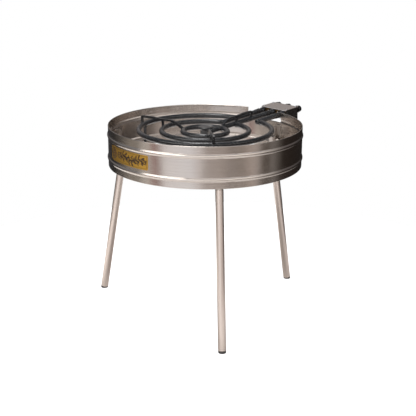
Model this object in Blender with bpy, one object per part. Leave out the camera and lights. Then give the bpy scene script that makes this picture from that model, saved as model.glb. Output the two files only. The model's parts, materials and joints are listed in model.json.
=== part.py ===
"""Three-ring gas burner in a round stainless windshield drum that stands on three splayed legs.

The drum's axis is vertical. Lengths are in metres and heights are counted from the floor. Azimuths are
in degrees, counter-clockwise seen from above, and the front leg stands at -90.
"""

import math

import bmesh
import bpy
from mathutils import Matrix, Vector

GAP = 0.0003

# Drum
RIM_HEIGHT = 0.700
DRUM_RADIUS = 0.350
DRUM_DEPTH = 0.145
DRUM_WALL = 0.0012
HEM_WALL = 0.0026
HEM_HEIGHT = 0.006
BEAD_RISE = 0.003
BEAD_HEIGHT = 0.015
BEAD_DEPTHS = (0.034, 0.1145)
DRUM_STEPS = 72
NOTCH_START = 26.5
NOTCH_END = 53.0
NOTCH_DEPTH = 0.0395
NOTCH_CORNER = 0.008

# Name plate
PLATE_START = 194.5
PLATE_END = 228.8
PLATE_TOP_DEPTH = 0.046
PLATE_HEIGHT = 0.051
PLATE_THICKNESS = 0.001

# Legs and sockets
LEG_AZIMUTHS = {"front": -90.0, "right": 30.0, "left": 150.0}
LEG_RADIUS = 0.014
LEG_WALL = 0.0015
LEG_TOP_REACH = 0.333
LEG_FOOT_REACH = 0.428
SOCKET_DROP = 0.006
SOCKET_LENGTH = 0.060
STUD_RADIUS = 0.007
STUD_REACH = 0.040
STUD_CLEARANCE = 0.0004
INSERT_LENGTH = 0.020
PLUG_LEAST = 0.004
PLUG_SPIGOT = 0.018
BRACKET_PLATE = (0.0025, 0.044, 0.052)
BRACKET_WEB = 0.004

# Burner rings: centre-line radius and depth of the centre below the rim
TUBE_RADIUS = 0.0095
OUTER_RING = (0.240, 0.022)
MIDDLE_RING = (0.1575, 0.027)
INNER_RING = (0.081, 0.030)
TUBE_SIDES = 10
BORE_SIDES = 6
BORE_RADIUS = 0.0075

# Feed arm
ARM_AZIMUTH = 37.0
ARM_SLOPE = 3.8
FEED_PITCH = 0.050
FEED_BORE = 0.0078
MOUTH_X = 0.372
MOUTH_RADIUS = 0.0118
MOUTH_LENGTH = 0.014

# Burner cap, pan supports and feet
CAP_RADIUS = 0.027
CAP_TOP_DEPTH = 0.010
CAP_HEIGHT = 0.030
SUPPORT_AZIMUTHS = {"front": -91.5, "left": 153.0, "arm": ARM_AZIMUTH}
SUPPORT_WIDTH = 0.008
FOOT_RADIUS = 0.006
SHELF_HEIGHT = 0.600
SHELF_INNER_REACH = 0.226
SHELF_THICKNESS = 0.005
SHELF_WIDTH = 0.025

# Tap case, in the arm's frame: x outwards, y to the left, z away from the tubes
CASE_START = 0.378
CASE_END = 0.4485
CASE_HALF = 0.061
CASE_WALL = 0.0012
CASE_FLOOR = -0.036
SHIELD_HALF = 0.0625
SHIELD_UNDER = 0.0123
SHIELD_THICKNESS = 0.0012
SHIELD_START = 0.377
SHIELD_END = 0.4495
SCREW_REACH = 0.0565
RAIL_X = 0.402
RAIL_Z = -0.024
RAIL_RADIUS = 0.008
TAP_START = 0.384
TAP_FRONT = 0.424
TAP_RADIUS = 0.0085
PRESS_TRAVEL = 0.003
SPINDLE_RADIUS = 0.003
SPINDLE_START = 0.416
SPINDLE_END = 0.4675
KNOB_BACK = 0.4545
KNOB_LENGTH = 0.018
KNOB_RADIUS = 0.014
TAPS = {"left": FEED_PITCH, "middle": 0.0, "right": -FEED_PITCH}

DRUM_BOTTOM = RIM_HEIGHT - DRUM_DEPTH
LEG_SPLAY = math.atan2(LEG_FOOT_REACH - LEG_TOP_REACH, DRUM_BOTTOM)
ARM_TILT = math.radians(ARM_SLOPE)
ARM_ROOT_HEIGHT = RIM_HEIGHT - INNER_RING[1] - INNER_RING[0] * math.tan(ARM_TILT)

FINISHES = {
    "drum_steel": ((0.62, 0.59, 0.56), 0.25, 1.0),
    "leg_steel": ((0.68, 0.62, 0.58), 0.32, 1.0),
    "bracket_steel": ((0.50, 0.49, 0.48), 0.40, 1.0),
    "plate_gold": ((0.60, 0.38, 0.10), 0.35, 1.0),
    "enamel": ((0.012, 0.012, 0.014), 0.15, 0.0),
    "case_black": ((0.02, 0.018, 0.018), 0.45, 0.0),
    "shield_steel": ((0.70, 0.68, 0.66), 0.28, 1.0),
    "brass": ((0.70, 0.50, 0.22), 0.30, 1.0),
    "zinc": ((0.55, 0.55, 0.56), 0.38, 1.0),
    "knob_plastic": ((0.015, 0.015, 0.016), 0.35, 0.0),
    "foot_rubber": ((0.03, 0.03, 0.03), 0.70, 0.0),
}


def clear_scene():
    for obj in list(bpy.data.objects):
        bpy.data.objects.remove(obj, do_unlink=True)


def make_finishes():
    for name, (colour, roughness, metallic) in FINISHES.items():
        material = bpy.data.materials.new(name)
        material.use_nodes = True
        shader = material.node_tree.nodes["Principled BSDF"]
        shader.inputs["Base Color"].default_value = (*colour, 1.0)
        shader.inputs["Roughness"].default_value = roughness
        shader.inputs["Metallic"].default_value = metallic


def make_frame(name, parent=None, location=(0, 0, 0), rotation=None):
    frame = bpy.data.objects.new(name, None)
    bpy.context.scene.collection.objects.link(frame)
    frame.parent = parent
    frame.location = location
    if rotation:
        frame.rotation_euler = rotation.to_euler()
    return frame


def add_solid(name, solid, finish, parent, location=(0, 0, 0), turn=(0, 0, 0)):
    """Turns a bmesh into a named object with outward faces and sharp edges kept crisp."""
    bmesh.ops.remove_doubles(solid, verts=solid.verts, dist=1e-6)
    bmesh.ops.recalc_face_normals(solid, faces=solid.faces)
    mesh = bpy.data.meshes.new(name)
    solid.to_mesh(mesh)
    solid.free()
    mesh.shade_smooth()
    mesh.set_sharp_from_angle(angle=math.radians(35))
    obj = bpy.data.objects.new(name, mesh)
    if finish:
        mesh.materials.append(bpy.data.materials[finish])
    bpy.context.scene.collection.objects.link(obj)
    obj.parent = parent
    obj.location = location
    obj.rotation_euler = turn
    return obj


def add_helper(name, solid, parent, location=(0, 0, 0), turn=(0, 0, 0)):
    """A shape that only cuts or joins others, hidden from the result."""
    helper = add_solid(name, solid, None, parent, location, turn)
    helper.hide_render = True
    helper.display_type = "WIRE"
    return helper


def combine(obj, operation, helper):
    modifier = obj.modifiers.new(helper.name, "BOOLEAN")
    modifier.operation = operation
    modifier.object = helper
    modifier.solver = "EXACT"


def swept(outline, start=0.0, end=360.0, steps=32):
    """A closed (radius, height) outline spun about +Z between two azimuths, in degrees."""
    solid = bmesh.new()
    turn = Matrix.Rotation(math.radians(start), 3, "Z")
    corners = [solid.verts.new(turn @ Vector((r, 0, z))) for r, z in outline]
    edges = [solid.edges.new((a, b)) for a, b in zip(corners, corners[1:] + corners[:1])]
    angle = math.radians(end - start)
    bmesh.ops.spin(solid, geom=corners + edges, cent=(0, 0, 0), axis=(0, 0, 1), angle=angle, steps=steps)
    bmesh.ops.remove_doubles(solid, verts=solid.verts, dist=1e-6)
    rims = [edge for edge in solid.edges if edge.is_boundary]
    if rims:
        bmesh.ops.holes_fill(solid, edges=rims, sides=0)
    return solid


def turned(profile, steps=24):
    """A (radius, height) profile that starts and ends on the axis, turned into a solid."""
    solid = bmesh.new()
    corners = [solid.verts.new((r, 0, z)) for r, z in profile]
    edges = [solid.edges.new(pair) for pair in zip(corners, corners[1:])]
    full = math.radians(360)
    bmesh.ops.spin(solid, geom=corners + edges, cent=(0, 0, 0), axis=(0, 0, 1), angle=full, steps=steps)
    return solid


def extruded(outline, width):
    """A polygon in the XZ plane, extruded evenly both ways along Y."""
    solid = bmesh.new()
    face = solid.faces.new([solid.verts.new((x, -width / 2, z)) for x, z in outline])
    grown = bmesh.ops.extrude_face_region(solid, geom=[face])
    moved = [item for item in grown["geom"] if isinstance(item, bmesh.types.BMVert)]
    bmesh.ops.translate(solid, verts=moved, vec=(0, width, 0))
    return solid


def block(low, high):
    solid = bmesh.new()
    middle = (Vector(low) + Vector(high)) / 2
    size = Vector(high) - Vector(low)
    bmesh.ops.create_cube(solid, size=1, matrix=Matrix.Translation(middle) @ Matrix.Diagonal((*size, 1)))
    return solid


def rod(radius, start, end, steps=20):
    return turned([(0, start), (radius, start), (radius, end), (0, end)], steps)


def pipe(path, radius, sides=12):
    """A round bar swept along a path of points in the YZ plane."""
    solid = bmesh.new()
    rings = []
    for index, point in enumerate(path):
        before = Vector(path[max(index - 1, 0)])
        after = Vector(path[min(index + 1, len(path) - 1)])
        along = (after - before).normalized()
        side = Vector((1, 0, 0))
        up = along.cross(side)
        ring = []
        for k in range(sides):
            angle = math.tau * k / sides
            offset = side * math.cos(angle) + up * math.sin(angle)
            ring.append(solid.verts.new(Vector(point) + offset * radius))
        rings.append(ring)
    for first, second in zip(rings, rings[1:]):
        for k in range(sides):
            after = (k + 1) % sides
            solid.faces.new((first[k], first[after], second[after], second[k]))
    solid.faces.new(rings[0])
    solid.faces.new(rings[-1])
    return solid


def polar(radius, azimuth, height):
    angle = math.radians(azimuth)
    return Vector((radius * math.cos(angle), radius * math.sin(angle), height))


def about_z(azimuth):
    return Matrix.Rotation(math.radians(azimuth), 4, "Z")


def bead_bulge(height):
    for depth in BEAD_DEPTHS:
        offset = height - (RIM_HEIGHT - depth)
        if abs(offset) < BEAD_HEIGHT / 2:
            return BEAD_RISE * math.cos(math.pi * offset / BEAD_HEIGHT)
    return 0.0


def drum_outline():
    """Section of the band: two pressed beads, and hems folded inwards at the top and bottom."""
    heights = [DRUM_BOTTOM, DRUM_BOTTOM + HEM_HEIGHT]
    for depth in reversed(BEAD_DEPTHS):
        centre = RIM_HEIGHT - depth
        heights += [centre + BEAD_HEIGHT * (k / 4 - 0.5) for k in range(5)]
    heights += [RIM_HEIGHT - HEM_HEIGHT, RIM_HEIGHT]
    outside = [(DRUM_RADIUS + bead_bulge(z), z) for z in heights]
    inside = [(r - DRUM_WALL, z) for r, z in reversed(outside[1:-1])]
    top_hem = [(DRUM_RADIUS - HEM_WALL, RIM_HEIGHT), (DRUM_RADIUS - HEM_WALL, RIM_HEIGHT - HEM_HEIGHT)]
    low_hem = [(DRUM_RADIUS - HEM_WALL, DRUM_BOTTOM + HEM_HEIGHT), (DRUM_RADIUS - HEM_WALL, DRUM_BOTTOM)]
    return outside + top_hem + inside + low_hem


def notch_outline():
    """Notch seen along the radius: open upwards, with rounded lower corners."""
    half = DRUM_RADIUS * math.sin(math.radians((NOTCH_END - NOTCH_START) / 2))
    low = RIM_HEIGHT - NOTCH_DEPTH
    top = RIM_HEIGHT + 0.010
    outline = [(half, top), (-half, top)]
    for side, first in ((-1, 180), (1, 270)):
        for k in range(5):
            angle = math.radians(first + 22.5 * k)
            x = side * (half - NOTCH_CORNER) + NOTCH_CORNER * math.cos(angle)
            outline.append((x, low + NOTCH_CORNER + NOTCH_CORNER * math.sin(angle)))
    return outline


def make_drum(stand):
    drum = add_solid("windshield_drum", swept(drum_outline(), steps=DRUM_STEPS), "drum_steel", stand)
    middle = (NOTCH_START + NOTCH_END) / 2
    reach = polar(DRUM_RADIUS, middle, 0)
    turn = (0, 0, math.radians(middle + 90))
    cutter = add_helper("notch_cutter", extruded(notch_outline(), 0.09), stand, reach, turn)
    combine(drum, "DIFFERENCE", cutter)


def make_name_plate(stand):
    inner = DRUM_RADIUS + GAP
    outer = inner + PLATE_THICKNESS
    top = RIM_HEIGHT - PLATE_TOP_DEPTH
    low = top - PLATE_HEIGHT
    outline = [(inner, low), (outer, low), (outer, top), (inner, top)]
    add_solid("name_plate", swept(outline, PLATE_START, PLATE_END, 12), "plate_gold", stand)


def make_leg(side, azimuth, stand):
    """One leg in a frame whose origin is on the leg's axis at the drum's bottom, +Z up along the axis."""
    tilt = about_z(azimuth) @ Matrix.Rotation(-LEG_SPLAY, 4, "Y")
    frame = make_frame(f"leg_axis_{side}", stand, polar(LEG_TOP_REACH, azimuth, DRUM_BOTTOM), tilt)
    top = -SOCKET_DROP - GAP
    floor = -DRUM_BOTTOM / math.cos(LEG_SPLAY)
    plug_top = floor + LEG_RADIUS * math.tan(LEG_SPLAY) + PLUG_LEAST

    bore = LEG_RADIUS - LEG_WALL
    tube = [(bore, plug_top + GAP), (LEG_RADIUS, plug_top + GAP), (LEG_RADIUS, top), (bore, top)]
    add_solid(f"leg_tube_{side}", swept(tube, steps=24), "leg_steel", frame)

    insert = bore - GAP
    stud = [
        (0, top - INSERT_LENGTH),
        (insert, top - INSERT_LENGTH),
        (insert, top),
        (STUD_RADIUS, top),
        (STUD_RADIUS, STUD_REACH - 0.002),
        (STUD_RADIUS - 0.002, STUD_REACH),
        (0, STUD_REACH),
    ]
    add_solid(f"leg_stud_{side}", turned(stud, 20), "zinc", frame)

    longest = floor - LEG_RADIUS * math.tan(LEG_SPLAY) - 0.005
    plug = [
        (0, longest),
        (LEG_RADIUS, longest),
        (LEG_RADIUS, plug_top),
        (insert, plug_top),
        (insert, plug_top + PLUG_SPIGOT),
        (0, plug_top + PLUG_SPIGOT),
    ]
    foot = add_solid(f"foot_plug_{side}", turned(plug, 24), "foot_rubber", frame)
    below = block((-1, -1, -1), (1, 1, 0))
    combine(foot, "DIFFERENCE", add_helper(f"floor_cutter_{side}", below, stand))
    return frame


def make_socket(side, azimuth, stand, leg_axis):
    """Socket tube with a web and a back plate, which is spot-welded to the inside of the drum."""
    bore = STUD_RADIUS + STUD_CLEARANCE
    end = SOCKET_LENGTH - SOCKET_DROP
    tube = [(bore, -SOCKET_DROP), (LEG_RADIUS, -SOCKET_DROP), (LEG_RADIUS, end), (bore, end)]
    socket = add_solid(f"leg_socket_{side}", swept(tube, steps=24), "bracket_steel", leg_axis)

    thick, wide, tall = BRACKET_PLATE
    face = DRUM_RADIUS - DRUM_WALL - wide * wide / (8 * DRUM_RADIUS) - 2 * GAP
    base = DRUM_BOTTOM + 0.045
    turn = (0, 0, math.radians(azimuth))
    plate = block((face - thick, -wide / 2, base), (face, wide / 2, base + tall))
    combine(socket, "UNION", add_helper(f"socket_plate_{side}", plate, stand, turn=turn))
    reach = LEG_TOP_REACH - 0.045 * math.tan(LEG_SPLAY) + LEG_RADIUS - 0.003
    web = block((reach, -BRACKET_WEB / 2, base - 0.012), (face - 0.001, BRACKET_WEB / 2, base + tall))
    combine(socket, "UNION", add_helper(f"socket_web_{side}", web, stand, turn=turn))


def make_shelf(side, azimuth, stand):
    """Bar welded to the socket's inner side, on which the burner's foot stands."""
    drop = SHELF_HEIGHT - SHELF_THICKNESS / 2 - DRUM_BOTTOM
    reach = LEG_TOP_REACH - drop * math.tan(LEG_SPLAY) - LEG_RADIUS / math.cos(LEG_SPLAY) - 3 * GAP
    low = (SHELF_INNER_REACH, -SHELF_WIDTH / 2, SHELF_HEIGHT - SHELF_THICKNESS)
    high = (reach, SHELF_WIDTH / 2, SHELF_HEIGHT)
    turn = (0, 0, math.radians(azimuth))
    add_solid(f"burner_bracket_{side}", block(low, high), "bracket_steel", stand, turn=turn)


def ring_tube(radius, height, size, sides, steps):
    """A closed torus of round section about the drum's axis."""
    section = []
    for k in range(sides):
        angle = math.tau * (k + 0.5) / sides
        section.append((radius + size * math.cos(angle), height + size * math.sin(angle)))
    return swept(section, steps=steps)


def make_ring(name, ring, neck, steps, burner):
    """A hollow ring whose ends butt against the feed tubes: neck is the gap's two sides, across the arm."""
    radius, depth = ring
    height = RIM_HEIGHT - depth
    body = add_solid(name, ring_tube(radius, height, TUBE_RADIUS, TUBE_SIDES, steps), "enamel", burner)
    bore = ring_tube(radius, height, BORE_RADIUS, BORE_SIDES, steps)
    combine(body, "DIFFERENCE", add_helper(f"{name}_bore", bore, burner))
    low, high = neck
    gap = block((radius * 0.6, low, height - 0.05), (radius + 0.03, high, height + 0.05))
    turn = (0, 0, math.radians(ARM_AZIMUTH))
    combine(body, "DIFFERENCE", add_helper(f"{name}_neck", gap, burner, turn=turn))


def make_rings(burner):
    side = TUBE_RADIUS + GAP
    outer_neck = (-FEED_PITCH - side, FEED_PITCH + side)
    make_ring("outer_ring", OUTER_RING, outer_neck, 48, burner)
    make_ring("middle_ring", MIDDLE_RING, (-side, FEED_PITCH + side), 40, burner)
    make_ring("inner_ring", INNER_RING, (-side, side), 32, burner)


def feed_end(ring):
    """Where a feed tube at one pitch from the arm's centre line ends inside the ring it feeds."""
    radius = ring[0]
    across = FEED_PITCH + TUBE_RADIUS
    return math.sqrt(radius * radius - across * across) - 1.3 * TUBE_RADIUS


def make_feed_tube(name, y, start, arm):
    """Blind tube along the arm, with a flared venturi mouth at its outer end."""
    flare = MOUTH_X - MOUTH_LENGTH
    profile = [
        (0, start),
        (TUBE_RADIUS, start),
        (TUBE_RADIUS, flare),
        (MOUTH_RADIUS, MOUTH_X - 0.005),
        (MOUTH_RADIUS, MOUTH_X),
        (MOUTH_RADIUS - 0.0015, MOUTH_X),
        (FEED_BORE, flare),
        (FEED_BORE, start + 0.004),
        (0, start + 0.004),
    ]
    add_solid(name, turned(profile, 20), "enamel", arm, (0, y, 0), (0, math.radians(90), 0))


def make_burner_cap(burner):
    top = RIM_HEIGHT - CAP_TOP_DEPTH
    low = top - CAP_HEIGHT
    profile = [
        (0, low),
        (0.016, low),
        (0.018, low + 0.004),
        (0.018, low + 0.017),
        (0.022, low + 0.021),
        (CAP_RADIUS, low + 0.023),
        (CAP_RADIUS, top - 0.003),
        (CAP_RADIUS - 0.002, top - 0.001),
        (0.008, top),
        (0, top),
    ]
    add_solid("burner_cap", turned(profile, 28), "enamel", burner)


def on_tube(centre_radius, centre_height, first, last):
    """Points just above a tube's surface, from one radius to another."""
    points = []
    reach = TUBE_RADIUS + GAP
    for k in range(5):
        r = first + (last - first) * k / 4
        points.append((r, centre_height + math.sqrt(reach * reach - (r - centre_radius) ** 2)))
    return points


def support_outline(foot_heights):
    """Bent bar on edge: a tall outer post, a middle post and an end bent down to the inner ring."""
    outer, middle, inner = foot_heights
    top = RIM_HEIGHT + 0.012
    upper = [
        (0.2490, top - 0.004),
        (0.2478, top - 0.0012),
        (0.2450, top),
        (0.2300, top),
        (0.2030, top - 0.001),
        (0.1690, top - 0.0065),
        (0.1340, top - 0.0070),
        (0.1180, top - 0.0110),
    ]
    lower = [
        (0.1215, top - 0.0185),
        (0.1350, top - 0.0148),
        (0.1600, top - 0.0146),
        *middle,
        (0.1680, top - 0.0145),
        (0.2050, top - 0.0090),
        (0.2380, top - 0.0082),
        (0.2408, top - 0.0110),
    ]
    return [*outer, *upper, *inner, *lower]


def make_supports(burner):
    """Two supports stand on the shoulders of the rings, and the third stands along the middle feed tube."""
    rings = [(ring[0], RIM_HEIGHT - ring[1]) for ring in (OUTER_RING, MIDDLE_RING, INNER_RING)]
    on_rings = (
        on_tube(*rings[0], 0.2410, 0.2490),
        on_tube(*rings[1], 0.1600, 0.1665),
        on_tube(*rings[2], 0.0840, 0.0905),
    )
    slope = math.tan(ARM_TILT)

    def above_arm(first, last):
        rise = ARM_ROOT_HEIGHT + (TUBE_RADIUS + GAP) / math.cos(ARM_TILT)
        return [(r, rise + r * slope) for r in (first, last)]

    on_arm = (above_arm(0.2410, 0.2490), above_arm(0.1600, 0.1680), above_arm(0.0880, 0.0960))
    for side, azimuth in SUPPORT_AZIMUTHS.items():
        feet = on_arm if side == "arm" else on_rings
        solid = extruded(support_outline(feet), SUPPORT_WIDTH)
        turn = (0, 0, math.radians(azimuth))
        add_solid(f"pan_support_{side}", solid, "enamel", burner, turn=turn)


def make_feet(burner):
    ring_under = RIM_HEIGHT - OUTER_RING[1] - TUBE_RADIUS
    for side in ("front", "left"):
        place = polar(OUTER_RING[0], LEG_AZIMUTHS[side], 0)
        foot = rod(FOOT_RADIUS, SHELF_HEIGHT + GAP, ring_under - GAP, 16)
        add_solid(f"burner_foot_{side}", foot, "enamel", burner, place)


def make_arm_rest(burner):
    """Saddle under the left feed tube, slotted over the edge of the drum's notch."""
    across = FEED_PITCH
    wall = math.sqrt(DRUM_RADIUS * DRUM_RADIUS - across * across)
    edge = RIM_HEIGHT - NOTCH_DEPTH + GAP
    top = ARM_ROOT_HEIGHT + (wall - 0.008) * math.tan(ARM_TILT) - TUBE_RADIUS / math.cos(ARM_TILT) - GAP
    outline = [
        (wall - 0.008, top),
        (wall - 0.008, edge - 0.005),
        (wall - 0.0035, edge - 0.005),
        (wall - 0.0035, edge),
        (wall + 0.0045, edge),
        (wall + 0.0045, edge - 0.005),
        (wall + 0.008, edge - 0.005),
        (wall + 0.008, top),
    ]
    turn = about_z(ARM_AZIMUTH)
    place = turn @ Vector((0, across, 0))
    add_solid("arm_rest", extruded(outline, 0.012), "enamel", burner, place, turn.to_euler())


def make_case(arm):
    """Folded black sheet round three sides of the taps, with tabs for the shield's screws."""
    top = SHIELD_UNDER - GAP
    outer = block((CASE_START, -CASE_HALF, CASE_FLOOR), (CASE_END, CASE_HALF, top))
    case = add_solid("tap_case", outer, "case_black", arm)
    inner = CASE_HALF - CASE_WALL
    hollow_top = (CASE_END - CASE_WALL, inner, top + 0.01)
    hollow = block((CASE_START - 0.01, -inner, CASE_FLOOR - 0.01), hollow_top)
    combine(case, "DIFFERENCE", add_helper("case_hollow", hollow, arm))
    for index, (x, y) in enumerate(screw_places(), 1):
        side = math.copysign(1, y)
        near = side * (CASE_HALF - CASE_WALL / 2)
        far = y - side * 0.005
        low = (x - 0.006, min(near, far), top - 0.0015)
        high = (x + 0.006, max(near, far), top)
        combine(case, "UNION", add_helper(f"case_tab_{index}", block(low, high), arm))
    along_x = (0, math.radians(90), 0)
    for side, y in TAPS.items():
        hole = rod(SPINDLE_RADIUS + 0.002, CASE_END - 0.01, CASE_END + 0.01, 16)
        combine(case, "DIFFERENCE", add_helper(f"spindle_hole_{side}", hole, arm, (0, y, 0), along_x))
    along_y = (math.radians(-90), 0, 0)
    pass_through = rod(RAIL_RADIUS + 0.001, CASE_HALF - 0.01, CASE_HALF + 0.01, 20)
    rail_hole = add_helper("rail_hole", pass_through, arm, (RAIL_X, 0, RAIL_Z), along_y)
    combine(case, "DIFFERENCE", rail_hole)
    for index, (x, y) in enumerate(screw_places(), 1):
        hole = rod(0.0022, SHIELD_UNDER - 0.01, SHIELD_UNDER + 0.01, 12)
        combine(case, "DIFFERENCE", add_helper(f"tab_hole_{index}", hole, arm, (x, y, 0)))


def screw_places():
    return [(x, side * SCREW_REACH) for x in (CASE_START + 0.009, CASE_END - 0.009) for side in (1, -1)]


def make_shield(arm):
    """Bright sheet over the taps, with its inner edge bent down over the feed tubes."""
    top = SHIELD_UNDER + SHIELD_THICKNESS
    outline = [
        (SHIELD_END, SHIELD_UNDER),
        (SHIELD_END, top),
        (SHIELD_START, top),
        (SHIELD_START - 0.0028, top - 0.0022),
        (SHIELD_START - 0.0020, top - 0.0032),
        (SHIELD_START + 0.0005, SHIELD_UNDER),
    ]
    shield = add_solid("heat_shield", extruded(outline, 2 * SHIELD_HALF), "shield_steel", arm)
    for index, (x, y) in enumerate(screw_places(), 1):
        hole = rod(0.0022, SHIELD_UNDER - 0.01, top + 0.01, 12)
        combine(shield, "DIFFERENCE", add_helper(f"shield_hole_{index}", hole, arm, (x, y, 0)))
        head = top + GAP
        profile = [
            (0, SHIELD_UNDER - 0.005),
            (0.0019, SHIELD_UNDER - 0.005),
            (0.0019, head),
            (0.0040, head),
            (0.0040, head + 0.0012),
            (0.0025, head + 0.0024),
            (0, head + 0.0024),
        ]
        add_solid(f"shield_screw_{index}", turned(profile, 12), "zinc", arm, (x, y, 0))


def make_gas_rail(arm):
    """Rail under the taps: closed at its right end, with an elbow and a hose tail at its left end."""
    left = CASE_HALF + 0.006
    bore = RAIL_RADIUS - 0.0018
    profile = [
        (0, -CASE_HALF + 0.003),
        (RAIL_RADIUS, -CASE_HALF + 0.003),
        (RAIL_RADIUS, left),
        (bore, left),
        (bore, -CASE_HALF + 0.005),
        (0, -CASE_HALF + 0.005),
    ]
    along_y = (math.radians(-90), 0, 0)
    place = (RAIL_X, 0, RAIL_Z)
    add_solid("gas_rail", turned(profile, 20), "zinc", arm, place, along_y)

    nut = [(0.0048, left + GAP), (0.0115, left + GAP), (0.0115, left + 0.011), (0.0048, left + 0.011)]
    add_solid("inlet_nut", swept(nut, steps=6), "brass", arm, place, along_y)

    bend = 0.010
    start = left + 0.011 + GAP
    path = [(0, start, 0), (0, start + 0.004, 0)]
    for k in range(1, 7):
        angle = math.radians(15 * k)
        path.append((0, start + 0.004 + bend * math.sin(angle), bend * (math.cos(angle) - 1)))
    last = path[-1]
    path.append((0, last[1], last[2] - 0.006))
    elbow = add_solid("inlet_elbow", pipe(path, 0.0062), "brass", arm, place)
    drop = last[2] - 0.005
    barbs = [(0, drop), (0.0050, drop)]
    for k in range(3):
        low = drop - 0.009 * (k + 1)
        barbs += [(0.0042, low + 0.002), (0.0056, low + 0.001), (0.0056, low)]
    barbs.append((0, low))
    tail = add_helper("hose_tail", turned(barbs, 16), arm, (RAIL_X, last[1], RAIL_Z))
    combine(elbow, "UNION", tail)
    way = add_helper("hose_way", rod(0.0030, low - 0.005, drop, 12), arm, (RAIL_X, last[1], RAIL_Z))
    combine(elbow, "DIFFERENCE", way)


def make_tap(side, y, arm):
    """One push-and-turn tap on the gas rail, with its axis along the arm."""
    frame = make_frame(f"tap_axis_{side}", arm, (0, y, 0))
    along_x = (0, math.radians(90), 0)
    bore = SPINDLE_RADIUS + 0.0004
    body = [
        (0, TAP_START),
        (0.0060, TAP_START),
        (0.0060, TAP_START + 0.008),
        (TAP_RADIUS, TAP_START + 0.010),
        (TAP_RADIUS, TAP_FRONT - 0.008),
        (0.0070, TAP_FRONT - 0.007),
        (0.0070, TAP_FRONT),
        (bore, TAP_FRONT),
        (bore, SPINDLE_START - PRESS_TRAVEL - 0.001),
        (0, SPINDLE_START - PRESS_TRAVEL - 0.001),
    ]
    tap = add_solid(f"tap_body_{side}", turned(body, 20), "brass", frame, turn=along_x)
    boss_foot = RAIL_Z + RAIL_RADIUS + GAP
    boss = add_helper(f"tap_boss_{side}", rod(0.0055, boss_foot, -0.004, 16), frame, (RAIL_X, 0, 0))
    combine(tap, "UNION", boss)

    tip = MOUTH_X - 0.006
    injector = [
        (0, tip),
        (0.0022, tip),
        (0.0035, tip + 0.003),
        (0.0035, tip + 0.009),
        (0.0052, tip + 0.010),
        (0.0052, TAP_START - GAP),
        (0, TAP_START - GAP),
    ]
    add_solid(f"injector_{side}", turned(injector, 12), "brass", frame, turn=along_x)

    seat = TAP_FRONT + PRESS_TRAVEL + 0.0005
    inner = SPINDLE_RADIUS + 0.0003
    washer = [(inner, seat), (0.0065, seat), (0.0065, seat + 0.0015), (inner, seat + 0.0015)]
    add_solid(f"thrust_washer_{side}", swept(washer, steps=20), "zinc", frame, turn=along_x)

    collar = seat + 0.0015 + GAP
    spindle = [
        (0, SPINDLE_START),
        (SPINDLE_RADIUS, SPINDLE_START),
        (SPINDLE_RADIUS, collar),
        (0.0042, collar),
        (0.0042, collar + 0.002),
        (SPINDLE_RADIUS, collar + 0.002),
        (SPINDLE_RADIUS, SPINDLE_END),
        (0, SPINDLE_END),
    ]
    add_solid(f"spindle_{side}", turned(spindle, 16), "zinc", frame, turn=along_x)

    front = KNOB_BACK + KNOB_LENGTH
    socket = SPINDLE_RADIUS + GAP
    knob = [
        (socket, KNOB_BACK),
        (KNOB_RADIUS - 0.001, KNOB_BACK),
        (KNOB_RADIUS, KNOB_BACK + 0.001),
        (KNOB_RADIUS, KNOB_BACK + 0.005),
        (KNOB_RADIUS - 0.0015, KNOB_BACK + 0.007),
        (KNOB_RADIUS - 0.0028, front - 0.0015),
        (KNOB_RADIUS - 0.0045, front),
        (0, front),
        (0, SPINDLE_END + GAP),
        (socket, SPINDLE_END + GAP),
    ]
    make_knob(side, knob, frame, along_x)


def make_knob(side, profile, frame, along_x):
    solid = turned(profile, 24)
    first = profile[0]
    last = profile[-1]
    wall = swept_edge(first, last, 24)
    merged = bmesh.new()
    for piece in (solid, wall):
        mesh = bpy.data.meshes.new("knob_part")
        piece.to_mesh(mesh)
        piece.free()
        merged.from_mesh(mesh)
        bpy.data.meshes.remove(mesh)
    add_solid(f"knob_{side}", merged, "knob_plastic", frame, turn=along_x)


def swept_edge(first, last, steps):
    solid = bmesh.new()
    corners = [solid.verts.new((r, 0, z)) for r, z in (first, last)]
    edge = solid.edges.new(corners)
    full = math.radians(360)
    bmesh.ops.spin(solid, geom=[*corners, edge], cent=(0, 0, 0), axis=(0, 0, 1), angle=full, steps=steps)
    return solid


def centre_on_floor(stand):
    """Moves the whole object so that the middle of its bounding box stands over the origin."""
    bpy.context.view_layer.update()
    graph = bpy.context.evaluated_depsgraph_get()
    low = Vector((math.inf, math.inf, math.inf))
    high = -low
    for obj in bpy.data.objects:
        if obj.type != "MESH" or obj.hide_render:
            continue
        shape = obj.evaluated_get(graph)
        for vertex in shape.data.vertices:
            place = obj.matrix_world @ vertex.co
            low = Vector(map(min, low, place))
            high = Vector(map(max, high, place))
    middle = (low + high) / 2
    stand.location = (-round(middle.x, 4), -round(middle.y, 4), 0)


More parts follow.
